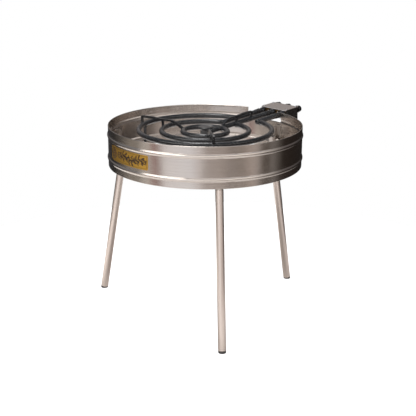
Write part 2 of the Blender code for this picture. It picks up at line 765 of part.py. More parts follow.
def main():
    clear_scene()
    make_finishes()
    stand = make_frame("drum_axis")
    make_drum(stand)
    make_name_plate(stand)
    for side, azimuth in LEG_AZIMUTHS.items():
        leg_axis = make_leg(side, azimuth, stand)
        make_socket(side, azimuth, stand, leg_axis)
    for side in ("front", "left"):
        make_shelf(side, LEG_AZIMUTHS[side], stand)

    burner = make_frame("burner_lift_axis", stand)
    tilt = about_z(ARM_AZIMUTH) @ Matrix.Rotation(-ARM_TILT, 4, "Y")
    arm = make_frame("arm_axis", burner, (0, 0, ARM_ROOT_HEIGHT), tilt)
    make_rings(burner)
    make_feed_tube("feed_tube_left", FEED_PITCH, feed_end(MIDDLE_RING), arm)
    make_feed_tube("feed_tube_middle", 0.0, CAP_RADIUS - 0.007, arm)
    make_feed_tube("feed_tube_right", -FEED_PITCH, feed_end(OUTER_RING), arm)
    make_burner_cap(burner)
    make_supports(burner)
    make_feet(burner)
    make_arm_rest(burner)
    make_case(arm)
    make_shield(arm)
    make_gas_rail(arm)
    for side, y in TAPS.items():
        make_tap(side, y, arm)
    centre_on_floor(stand)


main()
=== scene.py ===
import json
from math import acos, asin, atan2, cos, pi, radians, sin, sqrt, tan, tau

import bmesh
import bpy
from bpy.props import FloatProperty, FloatVectorProperty, IntProperty, PointerProperty
from mathutils import Matrix, Vector


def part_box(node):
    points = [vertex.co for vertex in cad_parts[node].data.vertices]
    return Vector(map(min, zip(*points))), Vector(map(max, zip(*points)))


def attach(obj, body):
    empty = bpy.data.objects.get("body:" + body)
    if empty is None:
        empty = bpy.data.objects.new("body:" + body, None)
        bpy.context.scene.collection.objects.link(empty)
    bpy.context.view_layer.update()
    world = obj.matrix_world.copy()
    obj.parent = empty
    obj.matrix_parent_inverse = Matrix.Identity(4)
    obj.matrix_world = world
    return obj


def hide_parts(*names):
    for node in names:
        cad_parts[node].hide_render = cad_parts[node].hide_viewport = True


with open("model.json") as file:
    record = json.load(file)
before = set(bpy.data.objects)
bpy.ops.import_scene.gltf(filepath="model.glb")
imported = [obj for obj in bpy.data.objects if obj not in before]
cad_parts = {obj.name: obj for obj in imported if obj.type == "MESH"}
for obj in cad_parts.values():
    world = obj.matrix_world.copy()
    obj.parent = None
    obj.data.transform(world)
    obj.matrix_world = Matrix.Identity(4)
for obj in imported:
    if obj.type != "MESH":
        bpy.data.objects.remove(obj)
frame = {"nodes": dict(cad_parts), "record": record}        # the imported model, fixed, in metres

bl_info = {
    "name": "Ring burner on a tripod stand",
    "version": (1, 0, 0),
    "blender": (4, 5, 0),
    "location": "3D View > Sidebar > Ring burner",
    "description": "Builds a three-ring gas burner in a stainless windshield drum on three legs",
    "category": "Object",
}

# ---------------------------------------------------------------- places taken from the frame


def box(node):
    """A node's lowest and highest corner."""
    return [Vector(corner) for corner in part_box(node)]


def span(node, place):
    """A node's lowest and highest corner, measured in a place of its own."""
    inverse = place.inverted()
    points = [inverse @ vertex.co for vertex in frame["nodes"][node].data.vertices]
    return [Vector([pick(point[k] for point in points) for k in range(3)]) for pick in (min, max)]


def shift(x=0.0, y=0.0, z=0.0):
    return Matrix.Translation((x, y, z))


def spin(angle, axis="Z"):
    return Matrix.Rotation(angle, 4, axis)


def from_axes(x, y, z, origin):
    place = Matrix((x, y, z)).transposed().to_4x4()
    place.translation = origin
    return place


def frame_from(origin, along):
    """A place whose +X runs along a direction and whose +Z is as near to upright as it can be."""
    x = Vector(along).normalized()
    y = Vector((0, 0, 1)).cross(x).normalized()
    return from_axes(x, y, x.cross(y), Vector(origin))


SIDES = ("front", "left", "right")
TAPS = ("left", "middle", "right")
JOINTS = {joint["name"]: joint for joint in frame["record"]["behaviour"]["joints"]}
DRUM_LOW, DRUM_HIGH = box("windshield_drum")
AXIS = Vector(((DRUM_LOW.x + DRUM_HIGH.x) / 2, (DRUM_LOW.y + DRUM_HIGH.y) / 2, 0))
ROUND_AXIS = Matrix.Translation(AXIS)
BASE, RIM = DRUM_LOW.z, DRUM_HIGH.z
BEAD_RISE = 0.003
DRUM_RADIUS = (DRUM_HIGH.x - DRUM_LOW.x) / 2 - BEAD_RISE
SHEET = 0.0012          # thickness of the drum's, the case's and the shield's sheet
GAP = 0.0003            # clearance between two pieces that meet
SOCKET_DROP = 0.006     # how far a socket stands below the drum
SOCKET_LENGTH = 0.060
STUD_REACH = 0.040
STUD_SEAT = -SOCKET_DROP - GAP

ARM = frame_from(JOINTS["middle_tap_turn"]["pos_m"], JOINTS["middle_tap_turn"]["axis"])
ARM_AZIMUTH = atan2(ARM[1][0], ARM[0][0])
TAP_ACROSS = {side: (ARM.inverted() @ Vector(JOINTS[f"{side}_tap_turn"]["pos_m"])).y for side in TAPS}
SUPPORTS = {"front": radians(-91.5), "left": radians(153.0), "arm": ARM_AZIMUTH}


def facing(azimuth):
    """A place on the drum's axis whose +X looks out along an azimuth."""
    return ROUND_AXIS @ spin(azimuth)


def on_arm(side, x=0.0):
    """A place on a tap's axis, x along the arm, with +Z pointing out along the arm."""
    return ARM @ shift(x, TAP_ACROSS[side]) @ spin(pi / 2, "Y")


def leg_place(side):
    """A place on the leg's axis at the drum's lower edge, with +Z up along the leg."""
    up = -Vector(JOINTS[f"{side}_leg_out"]["axis"])
    low, high = box(f"leg_tube_{side}")
    middle = (low + high) / 2
    origin = middle + up * ((BASE - middle.z) / up.z)
    outward = (origin - AXIS) * Vector((1, 1, 0))
    x = (outward - up * outward.dot(up)).normalized()
    return from_axes(x, up.cross(x), up, origin)


LEGS = {side: leg_place(side) for side in SIDES}
LEG_AZIMUTHS = {side: atan2(*reversed((LEGS[side].translation - AXIS).xy)) for side in SIDES}


def ring_height(node):
    low, high = box(node)
    return (low.z + high.z) / 2


def ring_reach(node):
    """The radius of a ring's centre line, from the width of its box and the flats of its tube."""
    return AXIS.x - box(node)[0].x - settings("burner").tube * cos(radians(18))


# ---------------------------------------------------------------- sizes and colours a user may change


class DrumSizes(bpy.types.PropertyGroup):
    wall: FloatProperty(name="Wall", description="Thickness of the sheet", default=SHEET, unit="LENGTH")
    hem: FloatProperty(name="Hem", description="Thickness of a folded edge", default=0.0026, unit="LENGTH")
    hem_height: FloatProperty(name="Hem height", description="Depth of the fold", default=0.006, unit="LENGTH")
    bead_height: FloatProperty(
        name="Bead height", description="Height of a pressed bead", default=0.015, unit="LENGTH")
    upper_bead: FloatProperty(name="Upper bead", description="Depth below the rim", default=0.034, unit="LENGTH")
    lower_bead: FloatProperty(name="Lower bead", description="Depth below the rim", default=0.1145, unit="LENGTH")
    notch_start: FloatProperty(
        name="Notch start", description="Azimuth", default=radians(26.5), subtype="ANGLE")
    notch_end: FloatProperty(name="Notch end", description="Azimuth", default=radians(53.0), subtype="ANGLE")
    notch_depth: FloatProperty(
        name="Notch depth", description="Depth below the rim", default=0.0395, unit="LENGTH")
    notch_corner: FloatProperty(
        name="Notch corner", description="Radius of its lower corners", default=0.008, unit="LENGTH")
    waviness: FloatProperty(
        name="Waviness", description="How far the thin sheet strays from round", default=0.00022, unit="LENGTH")
    steps: IntProperty(name="Steps", description="Segments round the drum", default=288)


class LegSizes(bpy.types.PropertyGroup):
    radius: FloatProperty(name="Radius", description="Outside of the tube", default=0.014, unit="LENGTH")
    wall: FloatProperty(name="Wall", description="Thickness of the tube", default=0.0015, unit="LENGTH")
    thread: FloatProperty(name="Thread", description="Outside of the stud", default=0.007, unit="LENGTH")
    pitch: FloatProperty(name="Pitch", description="Rise of one turn", default=0.002, unit="LENGTH")


class BurnerSizes(bpy.types.PropertyGroup):
    tube: FloatProperty(name="Tube", description="Outside radius of the tubes", default=0.0095, unit="LENGTH")
    port: FloatProperty(name="Port", description="Radius of a flame port", default=0.0012, unit="LENGTH")
    port_pitch: FloatProperty(
        name="Port pitch", description="Distance between flame ports", default=0.0098, unit="LENGTH")
    port_lean: FloatProperty(
        name="Port lean", description="Lean of the rows from upright", default=radians(38), subtype="ANGLE")
    support: FloatProperty(
        name="Support", description="Thickness of a pan support", default=0.008, unit="LENGTH")


class Finishes(bpy.types.PropertyGroup):
    steel: FloatVectorProperty(
        name="Drum steel", description="Stainless sheet", default=(0.60, 0.55, 0.51), subtype="COLOR")
    leg: FloatVectorProperty(
        name="Leg steel", description="Satin tube", default=(0.70, 0.62, 0.57), subtype="COLOR")
    bracket: FloatVectorProperty(
        name="Bracket steel", description="Plain bar and tube", default=(0.50, 0.46, 0.43), subtype="COLOR")
    shield: FloatVectorProperty(
        name="Shield steel", description="Bright sheet", default=(0.66, 0.61, 0.58), subtype="COLOR")
    enamel: FloatVectorProperty(
        name="Enamel", description="Black enamel", default=(0.007, 0.008, 0.010), subtype="COLOR")
    case: FloatVectorProperty(
        name="Case paint", description="Matt black paint", default=(0.012, 0.011, 0.011), subtype="COLOR")
    gold: FloatVectorProperty(
        name="Name plate", description="Gold foil", default=(0.70, 0.41, 0.07), subtype="COLOR")
    # Brass darkened far below its own colour, as painted shade for the taps that sit under the shield.
    brass: FloatVectorProperty(
        name="Brass", description="Tap bodies darkened as painted shade", default=(0.20, 0.135, 0.065), subtype="COLOR")
    zinc: FloatVectorProperty(
        name="Zinc", description="Screws and rail", default=(0.52, 0.52, 0.54), subtype="COLOR")


SETTINGS = {"drum": DrumSizes, "legs": LegSizes, "burner": BurnerSizes, "finishes": Finishes}


def settings(group):
    return getattr(bpy.context.scene, f"ring_burner_{group}")


# ---------------------------------------------------------------- nodes


def give(tree, socket, value):
    """Feeds a socket with another node's socket, or with a few of them, or with a plain value."""
    for item in value if isinstance(value, list) else [value]:
        if isinstance(item, bpy.types.NodeSocket):
            tree.links.new(item, socket)
        else:
            socket.default_value = item


def add(tree, kind, *ordered, **named):
    """Adds a node and gives back its outputs. A name in lower case sets the node, any other feeds a socket."""
    node = tree.nodes.new(kind)
    for key in [key for key in named if key[0].islower()]:
        setattr(node, key, named.pop(key))
    for key, value in [*enumerate(ordered), *named.items()]:
        give(tree, node.inputs[key if isinstance(key, int) else key.replace("_", " ")], value)
    return node.outputs


def maths(tree, operation, first, second=0.0):
    return add(tree, "ShaderNodeMath", first, second, operation=operation)[0]


def blend_between(tree, amount, low, high):
    return add(tree, "ShaderNodeMapRange", Value=amount, To_Min=low, To_Max=high)[0]


def threshold(tree, value, start, stop):
    return add(tree, "ShaderNodeMapRange", Value=value, From_Min=start, From_Max=stop)[0]


def noise(tree, place, scale, detail, **more):
    return add(tree, "ShaderNodeTexNoise", Vector=place, Scale=scale, Detail=detail, **more)[0]


def vector(tree, operation, *ordered, **named):
    return add(tree, "ShaderNodeVectorMath", *ordered, operation=operation, **named)[0]


def mix_colour(tree, amount, low, high, blend="MIX"):
    outputs = add(tree, "ShaderNodeMix", amount, data_type="RGBA", blend_type=blend)
    for index, value in ((6, low), (7, high)):
        plain = not isinstance(value, bpy.types.NodeSocket)
        give(tree, outputs[2].node.inputs[index], (*value[:3], 1.0) if plain else value)
    return outputs[2]


def bump(tree, height, distance, **under):
    return add(tree, "ShaderNodeBump", Height=height, Distance=distance, Strength=1.0, **under)[0]


def shader_group(name, outputs, **inputs):
    """A shader node group with named sockets. Gives back the group and its two ends."""
    group = bpy.data.node_groups.new(name, "ShaderNodeTree")
    for label, default in inputs.items():
        kind = "NodeSocketFloat" if isinstance(default, float) else "NodeSocketVector"
        socket = group.interface.new_socket(label, in_out="INPUT", socket_type=kind)
        socket.default_value = default
    for label in outputs:
        group.interface.new_socket(label, in_out="OUTPUT", socket_type="NodeSocketFloat")
    return group, group.nodes.new("NodeGroupInput").outputs, group.nodes.new("NodeGroupOutput").inputs


def grain_group():
    """Fine lines left by a brush: long one way, and thin the other two ways."""
    group, given, out = shader_group("Brushed grain", ("Grain", "Bands"), Place=(0, 0, 0), Stretch=(3, 3, 900))
    stretched = vector(group, "MULTIPLY", given["Place"], given["Stretch"])
    wide = vector(group, "SCALE", stretched, Scale=0.13)
    give(group, out["Grain"], noise(group, stretched, 1.0, 5.0))
    give(group, out["Bands"], noise(group, wide, 1.0, 2.0))
    return group


def marks_group():
    """Soft handling marks: cloudy patches with a few clear streaks in them."""
    group, given, out = shader_group("Handling marks", ("Mask",), Place=(0, 0, 0), Size=9.0)
    cloud = noise(group, given["Place"], given["Size"], 6.0, Roughness=0.62, Distortion=0.8)
    give(group, out["Mask"], threshold(group, cloud, 0.42, 0.68))
    return group


def speckle_group():
    """Small round specks scattered over a surface."""
    group, given, out = shader_group(
        "Speckle", ("Mask",), Place=(0, 0, 0), Scale=600.0, Size=0.22, Share=0.7)
    cells = add(group, "ShaderNodeTexVoronoi", Vector=given["Place"], Scale=given["Scale"])
    inside = maths(group, "LESS_THAN", cells["Distance"], given["Size"])
    chance = add(group, "ShaderNodeSeparateColor", Color=cells["Color"])[0]
    kept = maths(group, "GREATER_THAN", chance, given["Share"])
    give(group, out["Mask"], maths(group, "MULTIPLY", inside, kept))
    return group


GROUPS = {}


def use_group(tree, maker, **inputs):
    """Puts a shared group into a tree, built the first time, and gives back its outputs."""
    if maker not in GROUPS:
        GROUPS[maker] = maker()
    return add(tree, "ShaderNodeGroup", node_tree=GROUPS[maker], **inputs)


# ---------------------------------------------------------------- finishes

# Each brushed metal: its colour, the stretch of its grain, its least and most roughness, the depth of its
# grooves in metres, and any plain socket of its shader. The drum's gloss is drawn out up and down.
BRUSHED = {
    "drum_steel": ("steel", (4, 4, 1500), 0.15, 0.27, 3e-5, {"Anisotropic": 0.75, "Anisotropic_Rotation": 0.25}),
    "leg_steel": ("leg", (700, 700, 5), 0.27, 0.40, 4e-5, {}),
    "bracket_steel": ("bracket", (300, 300, 40), 0.24, 0.36, 5e-5, {}),
    "shield_steel": ("shield", (900, 6, 900), 0.20, 0.32, 3e-5, {}),
    "zinc_plate": ("zinc", (220, 220, 220), 0.26, 0.42, 3e-5, {}),
    "machined_brass": ("brass", (40, 40, 1800), 0.20, 0.34, 3e-5, {}),
}


def new_material(name, **plain):
    """A material with its shader's constant sockets set. Gives back the material, tree, shader and place."""
    material = bpy.data.materials.new(name)
    material.use_nodes = True
    tree = material.node_tree
    shader = tree.nodes["Principled BSDF"]
    feed(tree, shader, **plain)
    return material, tree, shader, add(tree, "ShaderNodeAttribute", attribute_name="making_place")["Vector"]


def feed(tree, shader, **sources):
    for key, source in sources.items():
        give(tree, shader.inputs[key.replace("_", " ")], source)


def shaded(colour, factor):
    return tuple(min(1.0, part * factor) for part in colour)


def brushed_metal(name):
    """Metal brushed one way: grain in its colour, roughness and relief, with handling marks over it."""
    colour, stretch, low, high, groove, plain = BRUSHED[name]
    colour = getattr(settings("finishes"), colour)
    material, tree, shader, place = new_material(name, Metallic=1.0, **plain)
    grain = use_group(tree, grain_group, Place=place, Stretch=stretch)
    marks = use_group(tree, marks_group, Place=place, Size=9.0)["Mask"]
    streaky = mix_colour(tree, grain["Grain"], shaded(colour, 0.86), shaded(colour, 1.10))
    banded = mix_colour(tree, grain["Bands"], (0.95, 0.95, 0.95), (1.0, 1.0, 1.0))
    toned = mix_colour(tree, 1.0, streaky, banded, "MULTIPLY")
    dulled = mix_colour(tree, maths(tree, "MULTIPLY", marks, 0.18), toned, shaded(colour, 0.74))
    rough = blend_between(tree, grain["Grain"], low, high)
    rough = maths(tree, "ADD", rough, maths(tree, "MULTIPLY", marks, 0.06))
    feed(tree, shader, Base_Color=dulled, Roughness=rough, Normal=bump(tree, grain["Grain"], groove))
    return material


def weld_metal():
    """Bare weld, rippled and heat-tinted from straw to brown."""
    material, tree, shader, place = new_material("weld_metal", Metallic=1.0)
    cloud = noise(tree, place, 260.0, 4.0)
    tint = mix_colour(tree, cloud, (0.42, 0.38, 0.33), (0.20, 0.15, 0.11))
    rough = blend_between(tree, cloud, 0.30, 0.55)
    feed(tree, shader, Base_Color=tint, Roughness=rough, Normal=bump(tree, cloud, 0.0003))
    return material


def enamel_like(name, colour, low, high, peel, coat):
    """Thick black coat: a slightly wavy gloss, small dented pits whose light grey colour is a painted sparkle
    highlight, and a little dust on what faces up.
    """
    material, tree, shader, place = new_material(
        name, Coat_Weight=coat, Coat_Roughness=0.06, Specular_IOR_Level=0.4)
    waves = noise(tree, place, 240.0, 3.5)
    pits_and_painted_sparkle = use_group(tree, speckle_group, Place=place, Scale=520.0, Size=0.30, Share=0.80)["Mask"]
    marks = use_group(tree, marks_group, Place=place, Size=26.0)["Mask"]
    normal = add(tree, "ShaderNodeNewGeometry")["Normal"]
    up = add(tree, "ShaderNodeSeparateXYZ", normal)["Z"]
    dust = maths(tree, "MULTIPLY", threshold(tree, up, 0.2, 1.0), blend_between(tree, marks, 0.25, 1.0))
    dusty = mix_colour(tree, maths(tree, "MULTIPLY", dust, 0.05), colour, (0.30, 0.29, 0.28))
    # Painted sparkle highlight: each pit is lightened to grey to stand in for a glint on the enamel. The dent itself
    # is real relief, made by the bump below.
    painted_sparkle_coat = mix_colour(tree, maths(tree, "MULTIPLY", pits_and_painted_sparkle, 0.55), dusty, (0.34, 0.33, 0.32))
    rough = maths(tree, "ADD", blend_between(tree, marks, low, high), maths(tree, "MULTIPLY", dust, 0.05))
    relief = bump(tree, maths(tree, "MULTIPLY", pits_and_painted_sparkle, -1.0), 0.00012, Normal=bump(tree, waves, peel))
    feed(tree, shader, Base_Color=painted_sparkle_coat, Roughness=rough, Normal=relief)
    return material


def black_enamel():
    return enamel_like("black_enamel", settings("finishes").enamel, 0.09, 0.20, 0.0010, 0.3)


def case_paint():
    return enamel_like("case_paint", settings("finishes").case, 0.34, 0.46, 0.00016, 0.0)


def knob_plastic():
    """Moulded heat-proof plastic with a fine, even texture."""
    material, tree, shader, place = new_material("knob_plastic", Specular_IOR_Level=0.45)
    marks = use_group(tree, marks_group, Place=place, Size=60.0)["Mask"]
    tone = mix_colour(tree, marks, (0.010, 0.010, 0.011), (0.020, 0.020, 0.021))
    feed(tree, shader, Base_Color=tone, Roughness=blend_between(tree, marks, 0.30, 0.42))
    feed(tree, shader, Normal=bump(tree, noise(tree, place, 2600.0, 2.0), 0.00005))
    return material


def knob_paint():
    """White line paint, worn through in specks."""
    material, tree, shader, place = new_material("knob_paint")
    worn = use_group(tree, speckle_group, Place=place, Scale=2200.0, Size=0.35, Share=0.6)["Mask"]
    feed(tree, shader, Base_Color=mix_colour(tree, worn, (0.75, 0.74, 0.70), (0.42, 0.41, 0.39)))
    feed(tree, shader, Roughness=blend_between(tree, worn, 0.45, 0.60))
    return material


def foot_rubber():
    """Dull dark plug, scuffed grey."""
    material, tree, shader, place = new_material("foot_rubber")
    scuffs = use_group(tree, marks_group, Place=place, Size=90.0)["Mask"]
    tone = mix_colour(tree, maths(tree, "MULTIPLY", scuffs, 0.5), (0.035, 0.033, 0.032), (0.10, 0.095, 0.09))
    feed(tree, shader, Base_Color=tone, Roughness=blend_between(tree, scuffs, 0.55, 0.80))
    feed(tree, shader, Normal=bump(tree, noise(tree, place, 900.0, 4.0), 0.00015))
    return material


def plate_gold():
    """Gold foil with a faint brushed grain and darker tarnish in patches."""
    gold = settings("finishes").gold
    material, tree, shader, place = new_material("plate_gold", Metallic=0.85, Coat_Weight=0.25)
    grain = use_group(tree, grain_group, Place=place, Stretch=(40, 40, 2200))["Grain"]
    marks = use_group(tree, marks_group, Place=place, Size=34.0)["Mask"]
    brushed = mix_colour(tree, grain, shaded(gold, 0.82), shaded(gold, 1.12))
    tarnished = mix_colour(tree, maths(tree, "MULTIPLY", marks, 0.45), brushed, (0.30, 0.17, 0.03))
    feed(tree, shader, Base_Color=tarnished, Roughness=blend_between(tree, marks, 0.30, 0.44))
    feed(tree, shader, Normal=bump(tree, grain, 0.00003))
    return material


def plate_ink():
    """Dark brown print, thin in patches."""
    material, tree, shader, place = new_material("plate_ink", Metallic=0.3)
    patches = use_group(tree, marks_group, Place=place, Size=60.0)["Mask"]
    feed(tree, shader, Base_Color=mix_colour(tree, patches, (0.035, 0.018, 0.006), (0.085, 0.045, 0.012)))
    feed(tree, shader, Roughness=blend_between(tree, patches, 0.38, 0.50))
    return material


PAINTS = (weld_metal, black_enamel, case_paint, knob_plastic, knob_paint, foot_rubber, plate_gold, plate_ink)
MATERIALS = {}


def finish(name):
    """The named material, made the first time that it is asked for."""
    if name not in MATERIALS:
        makers = {maker.__name__: maker for maker in PAINTS}
        MATERIALS[name] = brushed_metal(name) if name in BRUSHED else makers[name]()
    return MATERIALS[name]


# ---------------------------------------------------------------- mesh tools


def near(radius, height, *steps):
    """Points of a profile, given in millimetres from a (radius, height) corner."""
    return [(radius + r / 1000, height + z / 1000) for r, z in steps]


def fillet(points, radius, steps=5, closed=True):
    """Rounds the corners of a polygon, each by the radius or by what its sides leave room for."""
    rounded = []
    count = len(points)
    for index, point in enumerate(points):
        here = Vector(point)
        if not closed and index in (0, count - 1):
            rounded.append(here)
            continue
        before = Vector(points[index - 1]) - here
        after = Vector(points[(index + 1) % count]) - here
        reach = min(radius / tan(before.angle(after) / 2), before.length * 0.48, after.length * 0.48)
        start = here + before.normalized() * reach
        end = here + after.normalized() * reach
        for t in [k / steps for k in range(steps + 1)]:
            rounded.append(start * (1 - t) ** 2 + here * 2 * t * (1 - t) + end * t * t)
    return rounded


def circle(radius, count, z=0.0):
    return [(radius * cos(tau * k / count), radius * sin(tau * k / count), z) for k in range(count)]


def skinned(solid, rows, closed=False):
    """Joins each row of vertices to the next with faces, and the last to the first if it is closed."""
    for first, second in zip(rows, rows[1:] + rows[:1] if closed else rows[1:]):
        for k, corner in enumerate(first):
            after = (k + 1) % len(first)
            solid.faces.new((corner, first[after], second[after], second[k]))
    for end in () if closed else (rows[0], rows[-1]):
        solid.faces.new(end)
    return solid


def swept(outline, start=0.0, end=tau, steps=64):
    """A closed (radius, height) outline spun about +Z, closed round or with flat ends."""
    solid = bmesh.new()
    full = abs(end - start - tau) < 1e-9
    rows = []
    for k in range(steps if full else steps + 1):
        turn = start + (end - start) * k / steps
        rows.append([solid.verts.new((r * cos(turn), r * sin(turn), z)) for r, z in outline])
    return skinned(solid, rows, full)


def turned(profile, steps=48):
    """A (radius, height) profile spun about +Z. Where it meets the axis it closes to a point."""
    solid = bmesh.new()
    rows = [[solid.verts.new(p) for p in (circle(r, steps, z) if r > 1e-7 else [(0, 0, z)])] for r, z in profile]
    for first, second in zip(rows, rows[1:]):
        for k in range(steps if len(first) + len(second) > 2 else 0):
            after = (k + 1) % steps
            corners = [first[k % len(first)], first[after % len(first)]]
            corners += [second[after % len(second)], second[k % len(second)]]
            solid.faces.new(list(dict.fromkeys(corners)))
    return solid


def extruded(outline, width, lean="XZ"):
    """A polygon extruded evenly both ways across its plane: XZ along Y, or XY along Z."""
    solid = bmesh.new()
    upright = lean == "XZ"
    face = [solid.verts.new((x, -width / 2, y) if upright else (x, y, -width / 2)) for x, y in outline]
    grown = bmesh.ops.extrude_face_region(solid, geom=[solid.faces.new(face)])
    far = [item for item in grown["geom"] if isinstance(item, bmesh.types.BMVert)]
    bmesh.ops.translate(solid, verts=far, vec=(0, width, 0) if upright else (0, 0, width))
    return solid


def softened(solid, width, segments=2, angle=40):
    """Bevels the sharp edges of a solid."""
    bmesh.ops.recalc_face_normals(solid, faces=solid.faces)
    limit = radians(angle)
    sharp = [edge for edge in solid.edges if len(edge.link_faces) == 2 and edge.calc_face_angle() > limit]
    bmesh.ops.bevel(solid, geom=sharp, offset=width, segments=segments, affect="EDGES", clamp_overlap=True)
    return solid


def block(low, high, soft=0.0, segments=1):
    """A box between two corners, with its edges softened where a width is given."""
    solid = bmesh.new()
    size = Vector(high) - Vector(low)
    middle = Matrix.Translation((Vector(low) + Vector(high)) / 2)
    bmesh.ops.create_cube(solid, size=1, matrix=middle @ Matrix.Diagonal((*size, 1)))
    return softened(solid, soft, segments) if soft else solid


def joined(*solids):
    """Puts several bmeshes and meshes into one bmesh."""
    whole = bmesh.new()
    for solid in solids:
        mesh = solid
        if isinstance(solid, bmesh.types.BMesh):
            mesh = bpy.data.meshes.new("joined")
            solid.to_mesh(mesh)
            solid.free()
        whole.from_mesh(mesh)
        bpy.data.meshes.remove(mesh)
    return whole


def moved(solid, place):
    bmesh.ops.transform(solid, matrix=place, verts=solid.verts)
    return solid


def as_mesh(solid, name="piece"):
    bmesh.ops.remove_doubles(solid, verts=solid.verts, dist=1e-6)
    bmesh.ops.recalc_face_normals(solid, faces=solid.faces)
    mesh = bpy.data.meshes.new(name)
    solid.to_mesh(mesh)
    solid.free()
    return mesh


def new_object(name, data):
    obj = bpy.data.objects.new(name, data)
    bpy.context.scene.collection.objects.link(obj)
    return obj


def evaluated(obj):
    """A plain mesh of the object with its modifiers, and the object removed."""
    mesh = bpy.data.meshes.new_from_object(obj.evaluated_get(bpy.context.evaluated_depsgraph_get()))
    obj.modifiers.clear()
    bpy.data.objects.remove(obj, do_unlink=True)
    return mesh


def cut(mesh, *cutters, operation="DIFFERENCE"):
    """Cuts a mesh with others, and leaves one plain mesh."""
    body = new_object("body", mesh)
    tools = [new_object("cutter", as_mesh(cutter)) for cutter in cutters]
    for tool in tools:
        modifier = body.modifiers.new("cut", "BOOLEAN")
        modifier.operation = operation
        modifier.object = tool
        modifier.solver = "EXACT"
    result = evaluated(body)
    for tool in tools:
        bpy.data.objects.remove(tool, do_unlink=True)
    return result


def show(name, mesh, material, body, place=None, nodes=(), sharp=32):
    """A finished piece at the origin: it remembers where its points were made, then goes to its place."""
    if isinstance(mesh, bmesh.types.BMesh):
        mesh = as_mesh(mesh, name)
    mesh.name = name
    local = mesh.attributes.new("making_place", "FLOAT_VECTOR", "POINT")
    places = [0.0] * (3 * len(mesh.vertices))
    mesh.vertices.foreach_get("co", places)
    local.data.foreach_set("vector", places)
    mesh.transform(place or Matrix.Identity(4))
    mesh.shade_smooth()
    mesh.set_sharp_from_angle(angle=radians(sharp))
    mesh.materials.clear()
    mesh.materials.append(finish(material))
    obj = new_object(name, mesh)
    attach(obj, body)
    if nodes:
        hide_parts(*nodes)
    return obj


# ---------------------------------------------------------------- Geometry Nodes


def geometry_tree(name, **inputs):
    """A Geometry Nodes tree with named inputs. Gives back the tree and its input sockets."""
    tree = bpy.data.node_groups.new(name, "GeometryNodeTree")
    tree.interface.new_socket("Geometry", in_out="INPUT", socket_type="NodeSocketGeometry")
    for label, default in inputs.items():
        kind = "NodeSocketInt" if isinstance(default, int) else "NodeSocketFloat"
        socket = tree.interface.new_socket(label.replace("_", " "), in_out="INPUT", socket_type=kind)
        socket.default_value = default
    tree.interface.new_socket("Material", in_out="INPUT", socket_type="NodeSocketMaterial")
    tree.interface.new_socket("Geometry", in_out="OUTPUT", socket_type="NodeSocketGeometry")
    return tree, tree.nodes.new("NodeGroupInput").outputs


def end_tree(tree, given, geometry):
    """Closes a tree as each one ends: instances made real, and a material set."""
    real = add(tree, "GeometryNodeRealizeInstances", Geometry=geometry)[0]
    painted = add(tree, "GeometryNodeSetMaterial", Geometry=real, Material=given["Material"])[0]
    tree.links.new(painted, tree.nodes.new("NodeGroupOutput").inputs["Geometry"])
    return tree


def transform(tree, geometry, **how):
    return add(tree, "GeometryNodeTransform", Geometry=geometry, **how)[0]


def upward(tree, height):
    return add(tree, "ShaderNodeCombineXYZ", Z=height)[0]


def rod(tree, vertices, radius, depth):
    return add(tree, "GeometryNodeMeshCylinder", Vertices=vertices, Radius=radius, Depth=depth)[0]


def spread(tree, points, instance, **how):
    return add(tree, "GeometryNodeInstanceOnPoints", Points=points, Instance=instance, **how)[0]


def dots_along(tree, curve, pitch):
    return add(tree, "GeometryNodeCurveToPoints", Curve=curve, Length=pitch, mode="LENGTH")


def hoop(tree, resolution, radius):
    return add(tree, "GeometryNodeCurvePrimitiveCircle", Resolution=resolution, Radius=radius)[0]


def tube_along(tree, curve, resolution, radius, **how):
    """A tube that follows a curve, with its ends closed where Fill Caps is given."""
    section = hoop(tree, resolution, radius)
    return add(tree, "GeometryNodeCurveToMesh", Curve=curve, Profile_Curve=section, **how)[0]


def from_axis(tree):
    """A field that looks outwards from the Z axis."""
    return vector(tree, "MULTIPLY", add(tree, "GeometryNodeInputPosition")[0], (1, 1, 0))


def looking(tree, aim):
    return add(tree, "FunctionNodeAlignRotationToVector", Vector=aim, axis="Z")[0]


def flame_ring_tree():
    """A ring of tube, open over an arc, with two rows of drilled ports leaning out from its top."""
    tree, given = geometry_tree(
        "Flame ring", Ring_Radius=0.24, Tube_Radius=0.0095, Start=0.0, Sweep=6.0,
        Port_Pitch=0.01, Port_Radius=0.0012, Port_Lean=0.6, Steps=128)
    arc = add(
        tree, "GeometryNodeCurveArc", Resolution=given["Steps"], Radius=given["Ring Radius"],
        Start_Angle=given["Start"], Sweep_Angle=given["Sweep"], mode="RADIUS")[0]
    tube = tube_along(tree, arc, 28, given["Tube Radius"], Fill_Caps=True)
    dots = dots_along(tree, arc, given["Port Pitch"])[0]
    outward = vector(tree, "NORMALIZE", add(tree, "GeometryNodeInputPosition")[0])
    drill = rod(tree, 12, given["Port Radius"], given["Tube Radius"])
    reach = maths(tree, "MULTIPLY", given["Tube Radius"], 1.15)
    drills = []
    for side in (1.0, -1.0):
        lean = maths(tree, "MULTIPLY", given["Port Lean"], side)
        out = vector(tree, "SCALE", outward, Scale=maths(tree, "SINE", lean))
        aim = vector(tree, "ADD", out, upward(tree, maths(tree, "COSINE", lean)))
        start = vector(tree, "SCALE", aim, Scale=reach)
        lifted = add(tree, "GeometryNodeSetPosition", Geometry=dots, Offset=start)[0]
        row = spread(tree, lifted, drill, Rotation=looking(tree, aim))
        drills.append(add(tree, "GeometryNodeRealizeInstances", Geometry=row)[0])
    drilled = add(
        tree, "GeometryNodeMeshBoolean", operation="DIFFERENCE", solver="MANIFOLD", Mesh_1=tube, Mesh_2=drills)
    return end_tree(tree, given, drilled[0])


